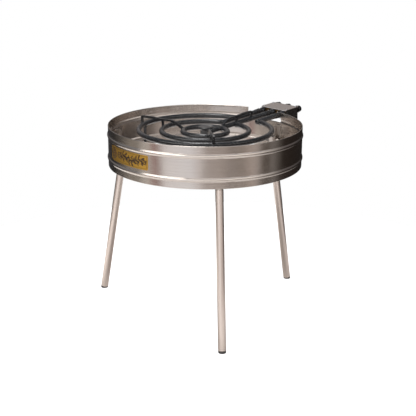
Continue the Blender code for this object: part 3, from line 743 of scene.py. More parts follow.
def weld_bead_tree():
    """Overlapping flat ripples laid along a curve, as a weld leaves them."""
    tree, given = geometry_tree("Weld bead", Bead_Radius=0.0016, Ripple_Pitch=0.0011)
    dots = dots_along(tree, given["Geometry"], given["Ripple Pitch"])
    ball = add(tree, "GeometryNodeMeshUVSphere", Segments=10, Rings=6, Radius=given["Bead Radius"])[0]
    flat = transform(tree, ball, Scale=(1.0, 1.0, 0.62))
    swing = add(tree, "FunctionNodeRandomValue", Seed=4, data_type="FLOAT")[1]
    swing.node.inputs[2].default_value, swing.node.inputs[3].default_value = 0.86, 1.12
    return end_tree(tree, given, spread(tree, dots["Points"], flat, Rotation=dots["Rotation"], Scale=swing))


def stud_thread_tree():
    """A screw thread: a ridge on a spiral round a core."""
    tree, given = geometry_tree("Stud thread", Radius=0.007, Pitch=0.002, Length=0.045, Bottom=-0.006)
    crest = maths(tree, "MULTIPLY", given["Pitch"], 0.5)
    root = maths(tree, "SUBTRACT", given["Radius"], crest)
    spiral = add(
        tree, "GeometryNodeCurveSpiral", Resolution=40, Start_Radius=root, End_Radius=root,
        Rotations=maths(tree, "DIVIDE", given["Length"], given["Pitch"]), Height=given["Length"])[0]
    thread = tube_along(tree, spiral, 6, crest, Fill_Caps=True)
    lift = upward(tree, maths(tree, "MULTIPLY", given["Length"], 0.5))
    core = transform(tree, rod(tree, 32, root, given["Length"]), Translation=lift)
    whole = add(tree, "GeometryNodeJoinGeometry", Geometry=[core, thread])[0]
    return end_tree(tree, given, transform(tree, whole, Translation=upward(tree, given["Bottom"])))


def knob_grip_tree():
    """Half-round ribs set evenly round a knob's skirt."""
    tree, given = geometry_tree("Knob grip", Radius=0.0125, Rib_Radius=0.0009, Ribs=18, Length=0.008, Middle=0.465)
    ring = add(tree, "GeometryNodeMeshCircle", Vertices=given["Ribs"], Radius=given["Radius"])[0]
    spots = transform(tree, ring, Translation=upward(tree, given["Middle"]))
    ribs = spread(tree, spots, rod(tree, 10, given["Rib Radius"], given["Length"]))
    return end_tree(tree, given, add(tree, "GeometryNodeJoinGeometry", Geometry=[given["Geometry"], ribs])[0])


def spot_weld_tree():
    """Shallow round marks on the drum, set on given points and facing out from its axis."""
    tree, given = geometry_tree("Spot welds", Radius=0.0026)
    lip = hoop(tree, 20, given["Radius"])
    mark = tube_along(tree, lip, 8, maths(tree, "MULTIPLY", given["Radius"], 0.22))
    flat = transform(tree, mark, Scale=(1.0, 1.0, 0.45))
    return end_tree(tree, given, spread(tree, given["Geometry"], flat, Rotation=looking(tree, from_axis(tree))))


def leaf_row_tree():
    """Paired leaves along a stem."""
    tree, given = geometry_tree("Leaf row", Stem_Radius=0.0006, Leaf_Pitch=0.008, Leaf_Length=0.0075)
    parts = [tube_along(tree, given["Geometry"], 8, given["Stem Radius"], Fill_Caps=True)]
    dots = dots_along(tree, given["Geometry"], given["Leaf Pitch"])
    along = add(
        tree, "FunctionNodeAlignRotationToVector", Rotation=looking(tree, from_axis(tree)),
        Vector=dots["Tangent"], axis="X", pivot_axis="Z")[0]
    ball = add(tree, "GeometryNodeMeshUVSphere", Segments=12, Rings=6, Radius=0.5)[0]
    size = add(
        tree, "ShaderNodeCombineXYZ", given["Leaf Length"],
        maths(tree, "MULTIPLY", given["Leaf Length"], 0.36), maths(tree, "MULTIPLY", given["Stem Radius"], 1.3))[0]
    start = add(tree, "ShaderNodeCombineXYZ", maths(tree, "MULTIPLY", given["Leaf Length"], 0.55))[0]
    leaf = transform(tree, transform(tree, ball, Scale=size), Translation=start)
    for side in (1.0, -1.0):
        leaning = transform(tree, leaf, Rotation=(0.0, 0.0, side * radians(42)))
        parts.append(spread(tree, dots["Points"], leaning, Rotation=along))
    return end_tree(tree, given, add(tree, "GeometryNodeJoinGeometry", Geometry=parts)[0])


TREES = {}


def grow(data, maker, material, **inputs):
    """Runs a tree on a mesh or a curve and gives back the plain mesh that it makes."""
    if maker not in TREES:
        TREES[maker] = maker()
    body = new_object("growing", data)
    modifier = body.modifiers.new("grow", "NODES")
    modifier.node_group = TREES[maker]
    inputs["Material"] = finish(material)
    for item in TREES[maker].interface.items_tree:
        if item.in_out == "INPUT" and item.name.replace(" ", "_") in inputs:
            modifier[item.identifier] = inputs[item.name.replace(" ", "_")]
    return evaluated(body)


def path(points, closed=False):
    """A poly curve through points, for a tree to work along."""
    curve = bpy.data.curves.new("path", "CURVE")
    curve.dimensions = "3D"
    spline = curve.splines.new("POLY")
    spline.points.add(len(points) - 1)
    for target, point in zip(spline.points, points):
        target.co = (*point, 1.0)
    spline.use_cyclic_u = closed
    return curve


def circle_path(radius, place):
    """Points of a circle about a place's +X axis, with the first one repeated at its end."""
    return [place @ Vector((0, radius * cos(tau * k / 40), radius * sin(tau * k / 40))) for k in range(41)]


def weld(name, points, body, radius=0.0016, material="weld_metal"):
    bead = grow(path(points), weld_bead_tree, material, Bead_Radius=radius, Ripple_Pitch=radius * 0.7)
    show(name, bead, material, body, sharp=60)


# ---------------------------------------------------------------- drum


def bead_bulge(sizes, height):
    for depth in (sizes.upper_bead, sizes.lower_bead):
        offset = height - (RIM - depth)
        if abs(offset) < sizes.bead_height / 2:
            return BEAD_RISE * cos(pi * offset / sizes.bead_height)
    return 0.0


def drum_outline(sizes):
    """Section of the band: two pressed beads, and edges folded inwards and rounded over."""
    fold, lip, guard = sizes.hem / 2, 0.0006, 0.0008
    bends = [pi * k / 8 for k in range(9)]
    low_bend, high_bend = BASE + fold, RIM - fold
    low_fold, high_fold = BASE + sizes.hem_height, RIM - sizes.hem_height
    heights = [low_bend + lip, low_fold, high_fold, high_bend - lip, RIM - 0.074, RIM - 0.062, RIM - 0.086]
    for middle in (RIM - sizes.lower_bead, RIM - sizes.upper_bead):
        heights += [middle + sizes.bead_height * (k / 16 - 0.5) for k in range(17)]
        heights += [middle - sizes.bead_height / 2 - guard, middle + sizes.bead_height / 2 + guard]
    heights.sort()
    outside = [(DRUM_RADIUS + bead_bulge(sizes, z), z) for z in heights]
    middle, inner, inside_wall = DRUM_RADIUS - fold, DRUM_RADIUS - sizes.hem, DRUM_RADIUS - sizes.wall
    top = [(middle + fold * cos(a), high_bend + fold * sin(a)) for a in bends]
    low = [(middle - fold * cos(a), low_bend - fold * sin(a)) for a in bends]
    between = [z for z in heights if low_fold < z < high_fold]
    inside = [(inside_wall + bead_bulge(sizes, z), z) for z in reversed(between)]
    upper_fold = [(inner, high_fold + lip), (inner + lip, high_fold), (inside_wall, high_fold)]
    lower_fold = [(r, RIM + BASE - z) for r, z in reversed(upper_fold)]
    return outside + top + upper_fold + inside + lower_fold + low


def notch_outline(sizes):
    half = DRUM_RADIUS * sin((sizes.notch_end - sizes.notch_start) / 2)
    low, clear = RIM - sizes.notch_depth, RIM + 0.01
    rounded = fillet([(half, clear), (-half, clear), (-half, low), (half, low)], sizes.notch_corner, 8)
    return [point for point in rounded if point.y < RIM] + [Vector((half, clear)), Vector((-half, clear))]


def make_drum():
    """The band, a little out of round as thin sheet is, with the notch that lets the arm out."""
    sizes = settings("drum")
    shell = swept(drum_outline(sizes), steps=sizes.steps)
    for vertex in shell.verts:
        around = atan2(vertex.co.y, vertex.co.x)
        wave = sin(5 * around + 1.0) + 0.6 * sin(11 * around + 2.3 + 9 * vertex.co.z)
        wave += 0.35 * sin(23 * around + 31 * vertex.co.z)
        grow_by = 1 + sizes.waviness * wave / DRUM_RADIUS
        vertex.co.x *= grow_by
        vertex.co.y *= grow_by
    middle = (sizes.notch_start + sizes.notch_end) / 2
    reach = shift(cos(middle) * DRUM_RADIUS, sin(middle) * DRUM_RADIUS)
    cutter = moved(extruded(notch_outline(sizes), 0.09), reach @ spin(middle + pi / 2))
    mesh = cut(as_mesh(shell), cutter)
    show("drum_shell", mesh, "drum_steel", "stand", ROUND_AXIS, ["windshield_drum"])


SEAM_AZIMUTH = radians(100)


def make_drum_seam():
    """The lap where the band's two ends meet, behind."""
    sizes = settings("drum")
    half = 0.007 / DRUM_RADIUS
    inner = DRUM_RADIUS - sizes.wall - 0.0009
    low, high = RIM - sizes.lower_bead + 0.010, RIM - sizes.upper_bead - 0.010
    outline = [(inner, low), (inner + 0.0008, low), (inner + 0.0008, high), (inner, high)]
    lap = softened(swept(outline, SEAM_AZIMUTH - half, SEAM_AZIMUTH + half, 6), 0.0002, 1)
    show("drum_seam", lap, "drum_steel", "stand", ROUND_AXIS)


def make_spot_welds():
    """Marks of the spot welds: a pair over each leg, for its socket's plate, and a row down the seam."""
    radius = DRUM_RADIUS + 0.0002
    spots = [(LEG_AZIMUTHS[side] + lean, depth) for side in SIDES for lean, depth in ((-0.0068, 0.0740), (0.0540, 0.0770))]
    spots += [(SEAM_AZIMUTH, 0.05 + 0.0115 * k) for k in range(5)]
    points = bpy.data.meshes.new("marks")
    points.from_pydata([(radius * cos(a), radius * sin(a), RIM - depth) for a, depth in spots], [], [])
    mesh = grow(points, spot_weld_tree, "weld_metal", Radius=0.0022)
    show("spot_welds", mesh, "weld_metal", "stand", ROUND_AXIS, sharp=60)


# ---------------------------------------------------------------- name plate


def plate_span():
    """Azimuths and heights of the plate, and the radius of its face."""
    points = [vertex.co - AXIS for vertex in frame["nodes"]["name_plate"].data.vertices]
    rounds = [atan2(point.y, point.x) % tau for point in points]
    low, high = box("name_plate")
    return min(rounds), max(rounds), low.z, high.z, max(point.xy.length for point in points)


def on_plate(across, up, lift, sides):
    """A point on the plate: across and up run from -1 to 1, and lift is above its face."""
    start, end, low, high, reach = sides
    around = (start + end) / 2 + (end - start) / 2 * across
    height = (low + high) / 2 + (high - low) / 2 * up
    return Vector(((reach + lift) * cos(around), (reach + lift) * sin(around), height))


def make_name_plate():
    """A curved plate with rounded corners, a printed edge line and a plain leaf and scroll ornament."""
    sides = plate_span()
    length, height = (sides[1] - sides[0]) * sides[4], sides[3] - sides[2]
    corner, thick, count = 0.004, 0.0008, 84
    solid = bmesh.new()
    columns = []
    for k in range(count + 1):
        across = 2 * k / count - 1
        inset = corner - min(corner, length / 2 * (1 - abs(across)))
        fall = corner - sqrt(max(0.0, corner * corner - inset * inset))
        top = 1 - 2 * fall / height
        front, back = [
            [solid.verts.new(on_plate(across, top * up, lift, sides)) for up in (1, 0.5, 0, -0.5, -1)]
            for lift in (0.0, -thick)]
        columns.append(front + back[::-1])
    skinned(solid, columns)
    show("name_plate_foil", solid, "plate_gold", "stand", ROUND_AXIS, ["name_plate"])

    across, up = 1 - 0.009 / length, 1 - 0.009 / height
    corners = [Vector(point) for point in ((-across, -up), (across, -up), (across, up), (-across, up))]
    edge = [a.lerp(b, k / 30) for a, b in zip(corners, corners[1:] + corners[:1]) for k in range(30)]
    line = path([on_plate(x, y, 0.0, sides) for x, y in edge], closed=True)
    border = grow(line, leaf_row_tree, "plate_ink", Stem_Radius=0.0005, Leaf_Pitch=9.0)
    show("name_plate_border", border, "plate_ink", "stand", ROUND_AXIS, sharp=60)

    vines = []
    for middle, turns, size in ((-0.76, 2.3, 0.0185), (-0.40, 1.6, -0.0130), (0.86, 1.6, 0.0105)):
        points = []
        for t in [k / 72 for k in range(73)]:
            reach = abs(size) * (0.16 + 0.84 * t)
            x = middle + (1 if size > 0 else -1) * reach * cos(turns * tau * t) / (length / 2)
            points.append(on_plate(x, reach * sin(turns * tau * t) / (height / 2), 0.0, sides))
        vines.append((points, 0.0012, 0.0100, 0.0060))
    for sway, stem, pitch, leaf in ((0.36, 0.0010, 0.0125, 0.0170), (-0.30, 0.0007, 0.0150, 0.0110)):
        run = [1.02 * k / 96 for k in range(97)]
        points = [on_plate(x - 0.30, sway * sin(x * 8.2), 0.0, sides) for x in run]
        vines.append((points, stem, pitch, leaf))
    for index, (points, stem, pitch, leaf) in enumerate(vines, 1):
        vine = grow(
            path(points), leaf_row_tree, "plate_ink", Stem_Radius=stem, Leaf_Pitch=pitch, Leaf_Length=leaf)
        show(f"name_plate_vine_{index}", vine, "plate_ink", "stand", ROUND_AXIS, sharp=60)


# ---------------------------------------------------------------- legs and sockets


def leg_foot(side):
    """Where the leg's axis meets the floor, and where its wall clears it, as heights in the leg's place."""
    place = LEGS[side]
    floor = -place.translation.z / place[2][2]
    return floor, floor + settings("legs").radius * tan(acos(place[2][2]))


def show_leg_part(name, solid, material, side, node):
    show(f"{name}_{side}", solid, material, f"{side}_leg", LEGS[side], [f"{node}_{side}"])


def make_leg_tube(side):
    """Steel tube, slightly rippled where its foot is closed over the plug."""
    sizes = settings("legs")
    outer, bore = sizes.radius, sizes.radius - sizes.wall
    low, top = leg_foot(side)[1] + 0.0043, STUD_SEAT
    middle = (low + top) / 2
    profile = [(outer - 0.0006, low)]
    for k in range(29):
        swell = 0.00022 * sin(pi * k / 4) * (1 - k / 28)
        profile.append((outer - 0.0001 + swell, low + 0.0009 + 0.021 * k / 28))
    profile += [(outer, low + 0.03), (outer, middle), (outer, top - 0.03)]
    profile += near(outer, top, (0, -0.6), (-0.6, 0)) + near(bore, top, (0.3, 0), (0, -0.3))
    profile += [(bore, middle), (bore, low)]
    show_leg_part("leg_pipe", swept(profile, steps=56), "leg_steel", side, "leg_tube")


def make_foot(side):
    """Dark end plug with a rounded skirt, cut level with the floor."""
    sizes = settings("legs")
    outer, spigot = sizes.radius, sizes.radius - sizes.wall - GAP
    floor, clear = leg_foot(side)
    skirt = clear + 0.004
    profile = [(0, floor - 0.008), (outer - 0.0008, floor - 0.008)]
    profile += near(outer, skirt, (-0.3, -1), (-0.6, 0)) + [(spigot, skirt)]
    for k in range(4):
        profile += near(spigot, skirt + 0.0035 * k, (0, 3), (-0.6, 3.8), (-0.6, 4.8))
    profile += [(spigot - 0.001, skirt + 0.018), (0, skirt + 0.018)]
    solid = moved(turned(profile, 56), LEGS[side])
    everything = solid.verts[:] + solid.edges[:] + solid.faces[:]
    sole = bmesh.ops.bisect_plane(
        solid, geom=everything, plane_co=(0, 0, 0), plane_no=(0, 0, -1), clear_outer=True)
    rim = [item for item in sole["geom_cut"] if isinstance(item, bmesh.types.BMEdge)]
    bmesh.ops.holes_fill(solid, edges=rim, sides=0)
    solid = moved(solid, LEGS[side].inverted())
    show_leg_part("foot_cap", solid, "foot_rubber", side, "foot_plug")


def make_stud(side):
    """Threaded stud on an insert that is welded into the top of the leg."""
    sizes = settings("legs")
    bore, top = sizes.radius - sizes.wall - GAP, STUD_SEAT
    thread = grow(
        bpy.data.meshes.new("empty"), stud_thread_tree, "zinc_plate", Radius=sizes.thread, Pitch=sizes.pitch,
        Length=STUD_REACH - top - 0.0025, Bottom=top + 0.001)
    insert = [(0, top - 0.02), (bore, top - 0.02), *near(bore, top, (0, -0.6), (-0.6, 0)), (0, top)]
    show_leg_part("stud", joined(thread, turned(insert, 40)), "zinc_plate", side, "leg_stud")


def make_socket(side):
    """Socket tube, its web and its back plate, with the weld beads that join them."""
    sizes = settings("legs")
    outer, bore = sizes.radius, sizes.thread + 0.0004
    low, high = -SOCKET_DROP, SOCKET_LENGTH - SOCKET_DROP
    profile = near(bore, low, (0.7, 0)) + near(outer, low, (-0.7, 0), (0, 0.7))
    profile += near(outer, high, (0, -0.7), (-0.7, 0)) + near(bore, high, (0.7, 0), (0, -0.7))
    tube = swept(profile + near(bore, low, (0, 0.7)), steps=48)
    turn = facing(LEG_AZIMUTHS[side])
    wide, tall, thick = 0.044, 0.052, 0.0025
    face = DRUM_RADIUS - SHEET - wide * wide / (8 * DRUM_RADIUS) - 0.0006
    base = BASE + 0.045
    corners = [(-wide / 2, base), (wide / 2, base), (wide / 2, base + tall), (-wide / 2, base + tall)]
    plate = softened(extruded(fillet(corners, 0.005), thick), 0.0004, 1)
    plate = moved(plate, turn @ shift(face - thick / 2) @ spin(pi / 2))
    splay = tan(acos(LEGS[side][2][2]))
    inner = (LEGS[side].translation - AXIS).xy.length - 0.045 * splay + outer - 0.003
    web = near(inner, base, (0, -12)) + near(face, base, (-1, -4))
    web += near(face, base + tall, (-1, -3)) + near(inner, base + tall, (2, -12)) + near(inner, base, (0, 10))
    web = moved(softened(extruded(fillet(web, 0.003, 4), 0.004), 0.0004, 1), turn)
    solid = moved(joined(moved(tube, LEGS[side]), plate, web), LEGS[side].inverted())
    node = f"leg_socket_{side}"
    show(f"socket_{side}", solid, "bracket_steel", "stand", LEGS[side], [node])
    for word, y in (("left", 0.0027), ("right", -0.0027)):
        heights = [base - 0.008 + (tall - 0.010) * k / 19 for k in range(20)]
        weld(f"plate_weld_{side}_{word}", [turn @ Vector((face - 0.0028, y, z)) for z in heights], "stand", 0.0014)


def make_shelf(side):
    """Bar that carries one of the burner's feet, welded to the socket."""
    node = f"burner_bracket_{side}"
    turn = facing(LEG_AZIMUTHS[side])
    low, high = span(node, turn)
    half = 0.0125
    outline = fillet([(low.x, -half), (high.x, -half), (high.x, half), (low.x, half)], 0.0012, 2)
    bar = softened(extruded(outline, high.z - low.z, "XY"), 0.0006, 2)
    bar = moved(bar, shift(z=(low.z + high.z) / 2))
    show(f"shelf_{side}", bar, "bracket_steel", "stand", turn, [node])
    for level, z in (("over", high.z + 0.0004), ("under", low.z - 0.0004)):
        points = [turn @ Vector((high.x - 0.0006, -0.010 + 0.02 * k / 12, z)) for k in range(13)]
        weld(f"shelf_weld_{side}_{level}", points, "stand")


# ---------------------------------------------------------------- burner


def show_enamelled(name, mesh, place, nodes, sharp=32):
    show(name, mesh, "black_enamel", "burner", place, nodes, sharp)


def weld_enamelled(name, points, radius):
    weld(name, points, "burner", radius, "black_enamel")


def make_flame_ring(name, start_across, end_across, steps):
    """A ring whose ends run into the feed tubes at given distances across the arm."""
    sizes = settings("burner")
    radius = ring_reach(name)
    start, end = asin(start_across / radius), asin(end_across / radius)
    mesh = grow(
        bpy.data.meshes.new("empty"), flame_ring_tree, "black_enamel", Ring_Radius=radius,
        Tube_Radius=sizes.tube, Start=ARM_AZIMUTH + start, Sweep=tau - (start - end), Steps=steps,
        Port_Pitch=sizes.port_pitch, Port_Radius=sizes.port, Port_Lean=sizes.port_lean)
    show_enamelled(f"{name}_pipe", mesh, ROUND_AXIS @ shift(z=ring_height(name)), [name], sharp=38)


def make_ring_welds():
    """Fillets where the rings' ends meet the feed tubes."""
    tube = settings("burner").tube
    gap = tube * 0.98
    edge = abs(TAP_ACROSS["left"]) + gap
    flat = facing(ARM_AZIMUTH)
    for node, ends in {"outer_ring": (-edge, edge), "middle_ring": (edge, -gap), "inner_ring": (gap, -gap)}.items():
        radius = ring_reach(node)
        for index, across in enumerate(ends, 1):
            x = sqrt(radius * radius - across * across)
            centre = flat @ Vector((x, across, ring_height(node)))
            place = frame_from(centre, flat.to_3x3() @ Vector((-across, x, 0)))
            weld_enamelled(f"{node}_weld_{index}", circle_path(tube + GAP, place), 0.0017)


def make_feed_tube(side):
    """Feed tube with a rounded blind end, a flared mouth and an air sleeve held by a small screw."""
    tube = settings("burner").tube
    low, high = span(f"feed_tube_{side}", ARM)
    start, mouth = low.x, high.x
    flare, lip = mouth - 0.014, tube + 0.0023
    profile = [(0, start)]
    profile += [(tube * sin(pi * k / 12), start + 0.003 * (1 - cos(pi * k / 12))) for k in range(1, 7)]
    profile += [(tube, start + 0.02), (tube, flare - 0.002)]
    for t in [k / 8 for k in range(1, 9)]:
        profile.append((tube + (lip - tube) * (3 * t * t - 2 * t ** 3), flare - 0.002 + 0.010 * t))
    profile += near(lip, mouth, (0, -0.6), (-0.5, 0), (-1, 0), (-1.5, -0.5), (-1.6, -4))
    profile += [(0.0078, flare), (0.0078, mouth - 0.06), (0, mouth - 0.062)]
    place = on_arm(side)
    show_enamelled(f"feed_pipe_{side}", turned(profile, 40), place, [f"feed_tube_{side}"])

    base, outer = flare - 0.030, tube + 0.0011
    band = near(tube, base, (0.2, 0)) + near(outer, base, (-0.2, 0), (0, 0.2), (0, 18.8), (-0.2, 19))
    sleeve = as_mesh(swept(band + near(tube, base, (0.2, 19)), steps=44))
    slots = []
    for k in range(3):
        slot = block((tube - 0.002, -0.0045, base + 0.005), (tube + 0.004, 0.0045, base + 0.014), 0.0012, 3)
        slots.append(moved(slot, spin(tau * k / 3 + pi)))
    show(f"air_sleeve_{side}", cut(sleeve, *slots), "case_paint", "burner", place)
    head = turned([(0, 0.0022), (0.0017, 0.0022), (0.0021, 0.0018), (0.0021, 0), (0, 0)], 20)
    place = place @ shift(0.0002 - outer, 0, base + 0.0165) @ spin(-pi / 2, "Y")
    show(f"sleeve_screw_{side}", head, "zinc_plate", "burner", place)


def make_cap():
    """Central burner head: a stepped disc with a dished top over a slotted ring."""
    low, high = box("burner_cap")
    base, top, radius = low.z, high.z, (high.x - low.x) / 2
    profile = near(0, base, (0, 0), (15.2, 0), (16, 0.8), (17.5, 4), (18, 5), (18, 16.5), (18.6, 18))
    profile += near(0, base, (21.5, 20.8), (23.5, 21.4)) + near(radius, base, (-1, 22.2), (0, 23.2))
    profile += near(radius, top, (0, -3.6), (-0.4, -2.6), (-2.2, -1), (-4, -0.6))
    profile += near(0, top, (15, -0.2), (13, -0.8), (11, -1), (6, -1), (5.2, -0.6), (4.6, 0), (2, 0), (1.4, -0.8), (0, -1))
    slots = []
    for k in range(24):
        slot = block((radius - 0.0035, -0.0007, base + 0.0228), (radius + 0.002, 0.0007, top - 0.0040))
        slots.append(moved(slot, spin(tau * k / 24)))
    mesh = cut(as_mesh(turned(profile, 96)), joined(*slots))
    show_enamelled("centre_head", mesh, ROUND_AXIS, ["burner_cap"], sharp=30)


def support_outline(side):
    """The bent bar's outline, read from the frame: its own corners, in order, on one side."""
    bar = bmesh.new()
    bar.from_mesh(frame["nodes"][f"pan_support_{side}"].data)
    bmesh.ops.remove_doubles(bar, verts=bar.verts, dist=1e-6)
    moved(bar, facing(SUPPORTS[side]).inverted())
    bmesh.ops.recalc_face_normals(bar, faces=bar.faces)
    inside = {vertex for vertex in bar.verts if vertex.co.y < 0}
    rim = []
    for edge in bar.edges:
        flat = [abs(face.normal.y) > 0.9 for face in edge.link_faces]
        if set(edge.verts) <= inside and sorted(flat) == [False, True]:
            rim.append(edge)
    here = rim[0].verts[0]
    order = []
    while rim:
        edge = next(item for item in here.link_edges if item in rim)
        rim.remove(edge)
        order.append((here.co.x, here.co.z))
        here = edge.other_vert(here)
    bar.free()
    return order


def make_support(side):
    outline = fillet(support_outline(side), 0.0016, 3)
    bar = softened(extruded(outline, settings("burner").support), 0.0009, 3, 60)
    show_enamelled(f"pan_rest_{side}", bar, facing(SUPPORTS[side]), [f"pan_support_{side}"], sharp=40)


def make_support_welds():
    """Small fillets at the feet of the supports, on the rings' tops."""
    sizes = settings("burner")
    half = sizes.support / 2 + 0.0004
    for side in ("front", "left"):
        turn = facing(SUPPORTS[side])
        for node, lean in (("outer_ring", 0.005), ("middle_ring", 0.0058), ("inner_ring", 0.0062)):
            radius = ring_reach(node) + lean
            for word, y in (("a", half), ("b", -half)):
                points = []
                for along in [radius - 0.0034 + 0.0068 * k / 8 for k in range(9)]:
                    rise = sqrt(max(0.0, sizes.tube ** 2 - (along - radius + lean) ** 2))
                    points.append(turn @ Vector((along, y, ring_height(node) + rise)))
                weld_enamelled(f"support_weld_{side}_{node.split('_')[0]}_{word}", points, 0.0013)


def make_burner_foot(side):
    """Round post under the outer ring, with a weld round its top."""
    low, high = box(f"burner_foot_{side}")
    radius, length = (high.x - low.x) / 2, high.z - low.z
    profile = [(0, 0), *near(radius, 0, (-0.6, 0), (0, 0.6), (0, 4), (-0.8, 5))]
    profile += [*near(radius, length, (-0.8, -6), (0, -4), (0, 0)), (0, length)]
    place = shift((low.x + high.x) / 2, (low.y + high.y) / 2, low.z)
    show_enamelled(f"foot_post_{side}", turned(profile, 36), place, [f"burner_foot_{side}"])
    collar = place @ shift(z=length - 0.0012) @ spin(-pi / 2, "Y")
    weld_enamelled(f"foot_weld_{side}", circle_path(radius + 0.0006, collar), 0.0016)


def make_arm_rest():
    """Forked saddle that straddles the edge of the notch, under the left feed tube."""
    turn = facing(ARM_AZIMUTH)
    low, high = span("arm_rest", turn)
    middle, slot_half = (low.x + high.x) / 2, 0.0040
    edge = RIM - settings("drum").notch_depth + GAP
    outline = [(low.x, high.z), (low.x, low.z), (middle - slot_half, low.z), (middle - slot_half, edge)]
    outline += [(middle + slot_half, edge), (middle + slot_half, low.z), (high.x, low.z), (high.x, high.z)]
    rest = softened(extruded(fillet(outline, 0.0012, 3), 0.012), 0.0006, 2, 50)
    show_enamelled("arm_saddle", rest, turn @ shift(y=TAP_ACROSS["left"]), ["arm_rest"], sharp=40)


# ---------------------------------------------------------------- taps, case and gas inlet


def rail_centre():
    low, high = span("gas_rail", ARM)
    return (low + high) / 2


def hole(radius, steps):
    return turned([(0, -0.01), (radius, -0.01), (radius, 0.01), (0, 0.01)], steps)


def make_case():
    """Folded sheet round three sides of the taps, with bushed holes and screw tabs."""
    low, high = span("tap_case", ARM)
    bend = 0.003
    outer = fillet([(low.x, low.y), (high.x, low.y), (high.x, high.y), (low.x, high.y)], bend, 6, closed=False)
    back, left, right = high.x - SHEET, high.y - SHEET, low.y + SHEET
    inner = fillet([(low.x, left), (back, left), (back, right), (low.x, right)], bend - SHEET, 6, closed=False)
    sheet = softened(extruded(outer + inner, high.z - low.z, "XY"), 0.0003, 1, 60)
    sheet = moved(sheet, shift(z=(low.z + high.z) / 2))
    cutters = [moved(hole(0.0048, 32), shift(high.x, TAP_ACROSS[side]) @ spin(pi / 2, "Y")) for side in TAPS]
    rail = rail_centre()
    cutters.append(moved(hole(0.009, 40), shift(rail.x, high.y, rail.z) @ spin(-pi / 2, "X")))
    show("case_sheet", cut(as_mesh(sheet), *cutters), "case_paint", "burner", ARM, ["tap_case"])

    tabs = []
    for x in screw_row():
        for sign in (1, -1):
            near_y, far_y = sorted((sign * left, sign * (left - 0.011)))
            tabs.append(block((x - 0.006, near_y, high.z - 0.0015), (x + 0.006, far_y, high.z - 0.0002), 0.0004))
    show("case_tabs", joined(*tabs), "case_paint", "burner", ARM)
    bush = near(0, 0, (3.4, -0.8), (6.2, -0.8), (6.2, 0.1), (4.8, 0.6), (4, 0.8), (3.4, 0.8))
    for side in TAPS:
        place = on_arm(side, high.x + 0.0008)
        show(f"spindle_bush_{side}", swept(bush, steps=36), "knob_plastic", "burner", place)


def screw_row():
    """The two distances along the arm at which the shield's screws stand."""
    spans = [span(f"shield_screw_{k}", ARM) for k in range(1, 5)]
    middles = sorted({round((low.x + high.x) / 2, 4) for low, high in spans})
    return middles[0], middles[-1]


def screw_head():
    """Pan head with a cross recess, over a plain shank."""
    profile = near(0, 0, (0, -6), (1.6, -6), (1.9, -5.6), (1.9, 0), (3.8, 0), (4, 0.3))
    profile += near(0, 0, (4, 0.8), (3.5, 1.7), (2.4, 2.2), (0, 2.4))
    arms = [
        block((-x, -y, 0.0010), (x, y, 0.004), 0.0001) for x, y in ((0.0018, 0.0004), (0.0004, 0.0018))]
    return joined(cut(as_mesh(turned(profile, 36)), *arms))


def make_shield():
    """Bright sheet over the taps: its inner edge is bent down, and four screws hold it."""
    low, high = span("heat_shield", ARM)
    top = high.z
    outline = [(high.x, top - SHEET), (high.x, top), (low.x + 0.0045, top), (low.x, low.z + 0.0008)]
    outline += [(low.x + 0.0008, low.z), (low.x + 0.0052, top - SHEET)]
    bent = [Vector(point) for point in outline[:2]] + fillet(outline[1:4], 0.0035, 6, closed=False)[1:-1]
    bent += [Vector(point) for point in outline[3:5]]
    bent += fillet(outline[4:] + outline[:1], 0.0023, 6, closed=False)[1:-1]
    sheet = softened(extruded(bent, high.y - low.y), 0.00035, 2, 60)
    sheet = moved(sheet, shift(y=(low.y + high.y) / 2))
    show("shield_sheet", sheet, "shield_steel", "burner", ARM, ["heat_shield"])
    for k in range(1, 5):
        low, high = span(f"shield_screw_{k}", ARM)
        place = ARM @ shift((low.x + high.x) / 2, (low.y + high.y) / 2, top + GAP) @ spin(0.5 * k)
        show(f"cover_screw_{k}", screw_head(), "zinc_plate", "burner", place, [f"shield_screw_{k}"])


def hexagon(radius, low, high, chamfer=0.0008, bore=0.0):
    """A six-sided nut with its corners turned down."""
    across, rim = radius * cos(pi / 6) + 0.0002, radius + 0.0004
    profile = [(bore, low), (across, low), (rim, low + chamfer), (rim, high - chamfer), (across, high), (bore, high)]
    body = as_mesh(swept(profile, steps=60) if bore else turned(profile, 60))
    prism = extruded([point[:2] for point in circle(radius, 6)], high - low + 0.004, "XY")
    return joined(cut(body, moved(prism, shift(z=(low + high) / 2)), operation="INTERSECT"))


def make_rail():
    """Gas rail with a screwed plug at its blind end and a collar at the inlet, and the union nut there."""
    low, high = span("gas_rail", ARM)
    middle = rail_centre()
    start, end, radius = low.y, high.y, (high.z - low.z) / 2
    profile = [(0, start + 0.0006), (0.0045, start)]
    profile += near(radius, start, (-0.8, 0), (0, 0.8), (0, 6), (-0.7, 6.6), (-0.7, 7.4), (0, 8))
    profile += near(radius, end, (0, -0.6), (-0.6, 0), (-1.8, 0), (-1.8, -30)) + [(0, end - 0.031)]
    place = ARM @ shift(middle.x, 0, middle.z) @ spin(-pi / 2, "X")
    show("gas_rail_pipe", turned(profile, 40), "zinc_plate", "burner", place, ["gas_rail"])
    low, high = span("inlet_nut", ARM)
    nut = hexagon(0.0117, low.y, high.y, bore=0.0050)
    show("inlet_union_nut", nut, "machined_brass", "burner", place, ["inlet_nut"])


